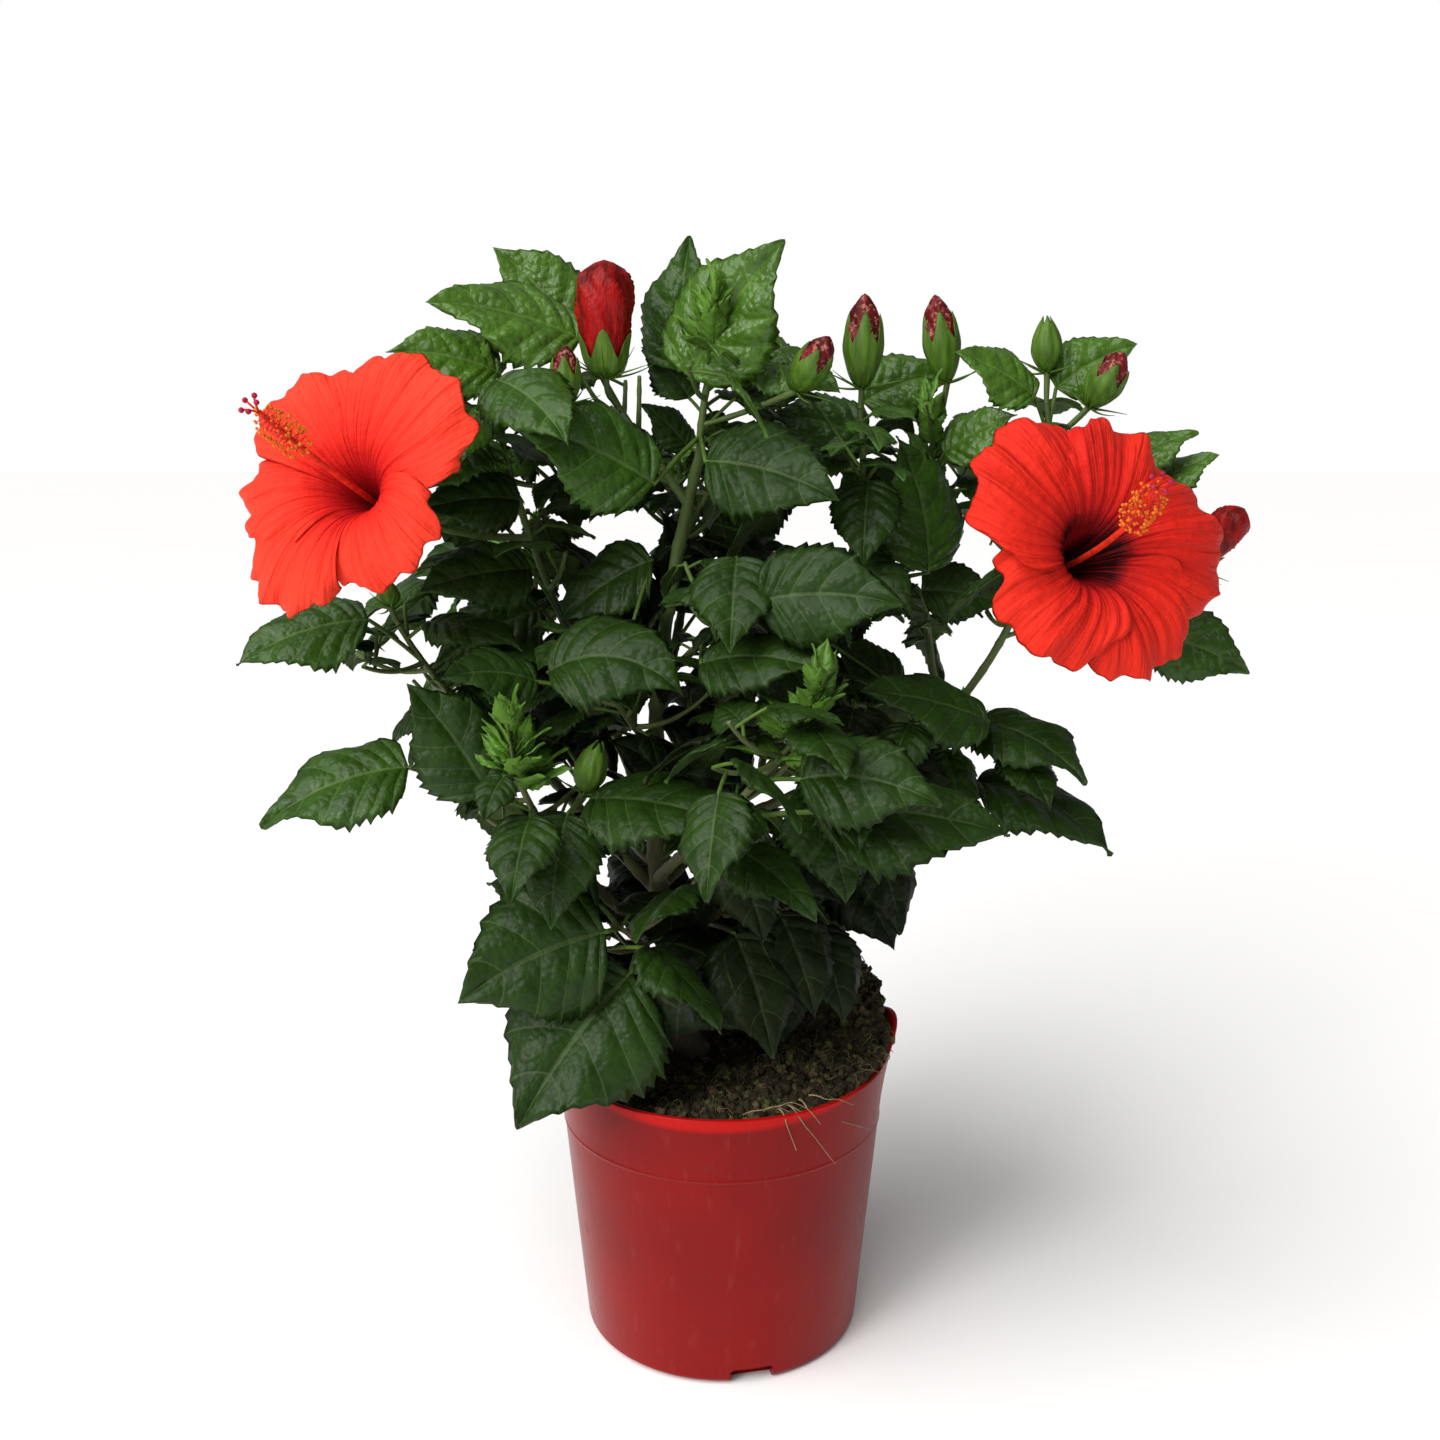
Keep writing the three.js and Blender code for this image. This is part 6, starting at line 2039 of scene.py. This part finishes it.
# %% Loose roots
# Each fibre's root, bend and tip
ROOT_FIBRES = [
    [(25, -60, 124), (30, -67, 123.5), (60, -40, 104)],
    [(26, -61, 124), (30, -66, 122), (44.5, -55.5, 97)],
    [(22, -62, 123), (25, -67.5, 122), (28.5, -65.2, 108)],
    [(30, -58, 125), (33, -64, 125.5), (38, -61, 117)],
    [(34, -56, 126), (42, -58, 126), (52, -49, 119)],
    [(16, -62, 122), (24, -60, 127), (33, -60, 123)],
    [(8, -64, 121.5), (18, -60, 125), (26, -62, 122.5)],
]
fibres = Lines()
for root, bend, tip in ROOT_FIBRES:
    fibre = Limb(root, bend, tip, 0.34, 0.14)
    shares = np.linspace(0, 1, 14)
    wander = np.stack([np.sin(7 * shares), np.cos(9 * shares), 0.6 * np.sin(11 * shares)], 1) * 0.5
    fibres.add(fibre.at(shares) + wander, fibre.radius(shares))
dry_root = soft_finish("dry_root", rgb(0.34, 0.24, 0.13), 0.8)
fibres.piece("loose_roots", dry_root, "soil", ["soil"], Sides=5)

# %% [markdown]
# The photograph stands the plant against plain white and looks slightly down on it, with soft light from the
# upper left. The stage repeats that: a pale floor, a white surround, two wide soft lights and one camera.

# %% Stage, light and camera
CAMERA_PLACE = (-0.0008, -0.600, 0.392)
CAMERA_TILT = 78
LENS = 37.5
SENSOR = 36
FLOOR_REACH = 8.0
SUN_TURN = (math.radians(24), math.radians(-28), 0)
# Where the key light stands, and what it is aimed at
KEY_PLACE = (-0.9, -1.1, 0.9)
AIM = (0.0, 0.0, 0.25)
# How strongly the white surround lights the plant; it shows as plain white
SURROUND = 0.24


def make_floor():
    bpy.ops.mesh.primitive_plane_add(size=2 * FLOOR_REACH, location=(0, 0, 0))
    floor = bpy.context.object
    floor.name = "floor"
    paper = Finish("white_paper", roughness=0.85)
    grey, white = (rgb(tone, tone, tone) for tone in (0.975, 0.985))
    paper.set(base_color=paper.mix(paper.noise(paper.place, 3.0), grey, white))
    floor.data.materials.append(paper.material)


def light(name, kind, turn, place=(0, 0, 0), **settings):
    lamp = bpy.data.lights.new(name, kind)
    for key, value in settings.items():
        setattr(lamp, key, value)
    made = new_object(name, lamp)
    made.location, made.rotation_euler = place, turn


make_floor()
# A very wide light from above and to the left lights the floor evenly as far as it goes
light("overhead", "SUN", SUN_TURN, energy=3.2, angle=math.radians(65), color=(1.0, 0.99, 0.98))
key_turn = (Vector(AIM) - Vector(KEY_PLACE)).to_track_quat("-Z", "Y").to_euler()
light("key", "AREA", key_turn, KEY_PLACE, shape="SQUARE", size=0.5, energy=10, color=(1.0, 0.98, 0.95))
world = bpy.data.worlds.new("surround")
world.use_nodes = True
surround = Graph(world.node_tree)
world.node_tree.nodes.clear()
seen_directly = surround.node("ShaderNodeLightPath")
strength = seen_directly * (1.0 - SURROUND) + SURROUND
sky = surround.node("ShaderNodeBackground", {}, {"Color": rgb(1.0, 1.0, 1.0), "Strength": strength})
world.node_tree.links.new(sky.socket, world.node_tree.nodes.new("ShaderNodeOutputWorld").inputs[0])
bpy.context.scene.world = world
bpy.context.scene.view_settings.view_transform = "Standard"

lens = bpy.data.cameras.new("camera")
lens.lens, lens.sensor_width = LENS, SENSOR
camera = new_object("camera", lens)
camera.location = CAMERA_PLACE
camera.rotation_euler = (math.radians(CAMERA_TILT), 0, 0)
bpy.context.scene.camera = camera
print("camera at", CAMERA_PLACE, "tilted", CAMERA_TILT)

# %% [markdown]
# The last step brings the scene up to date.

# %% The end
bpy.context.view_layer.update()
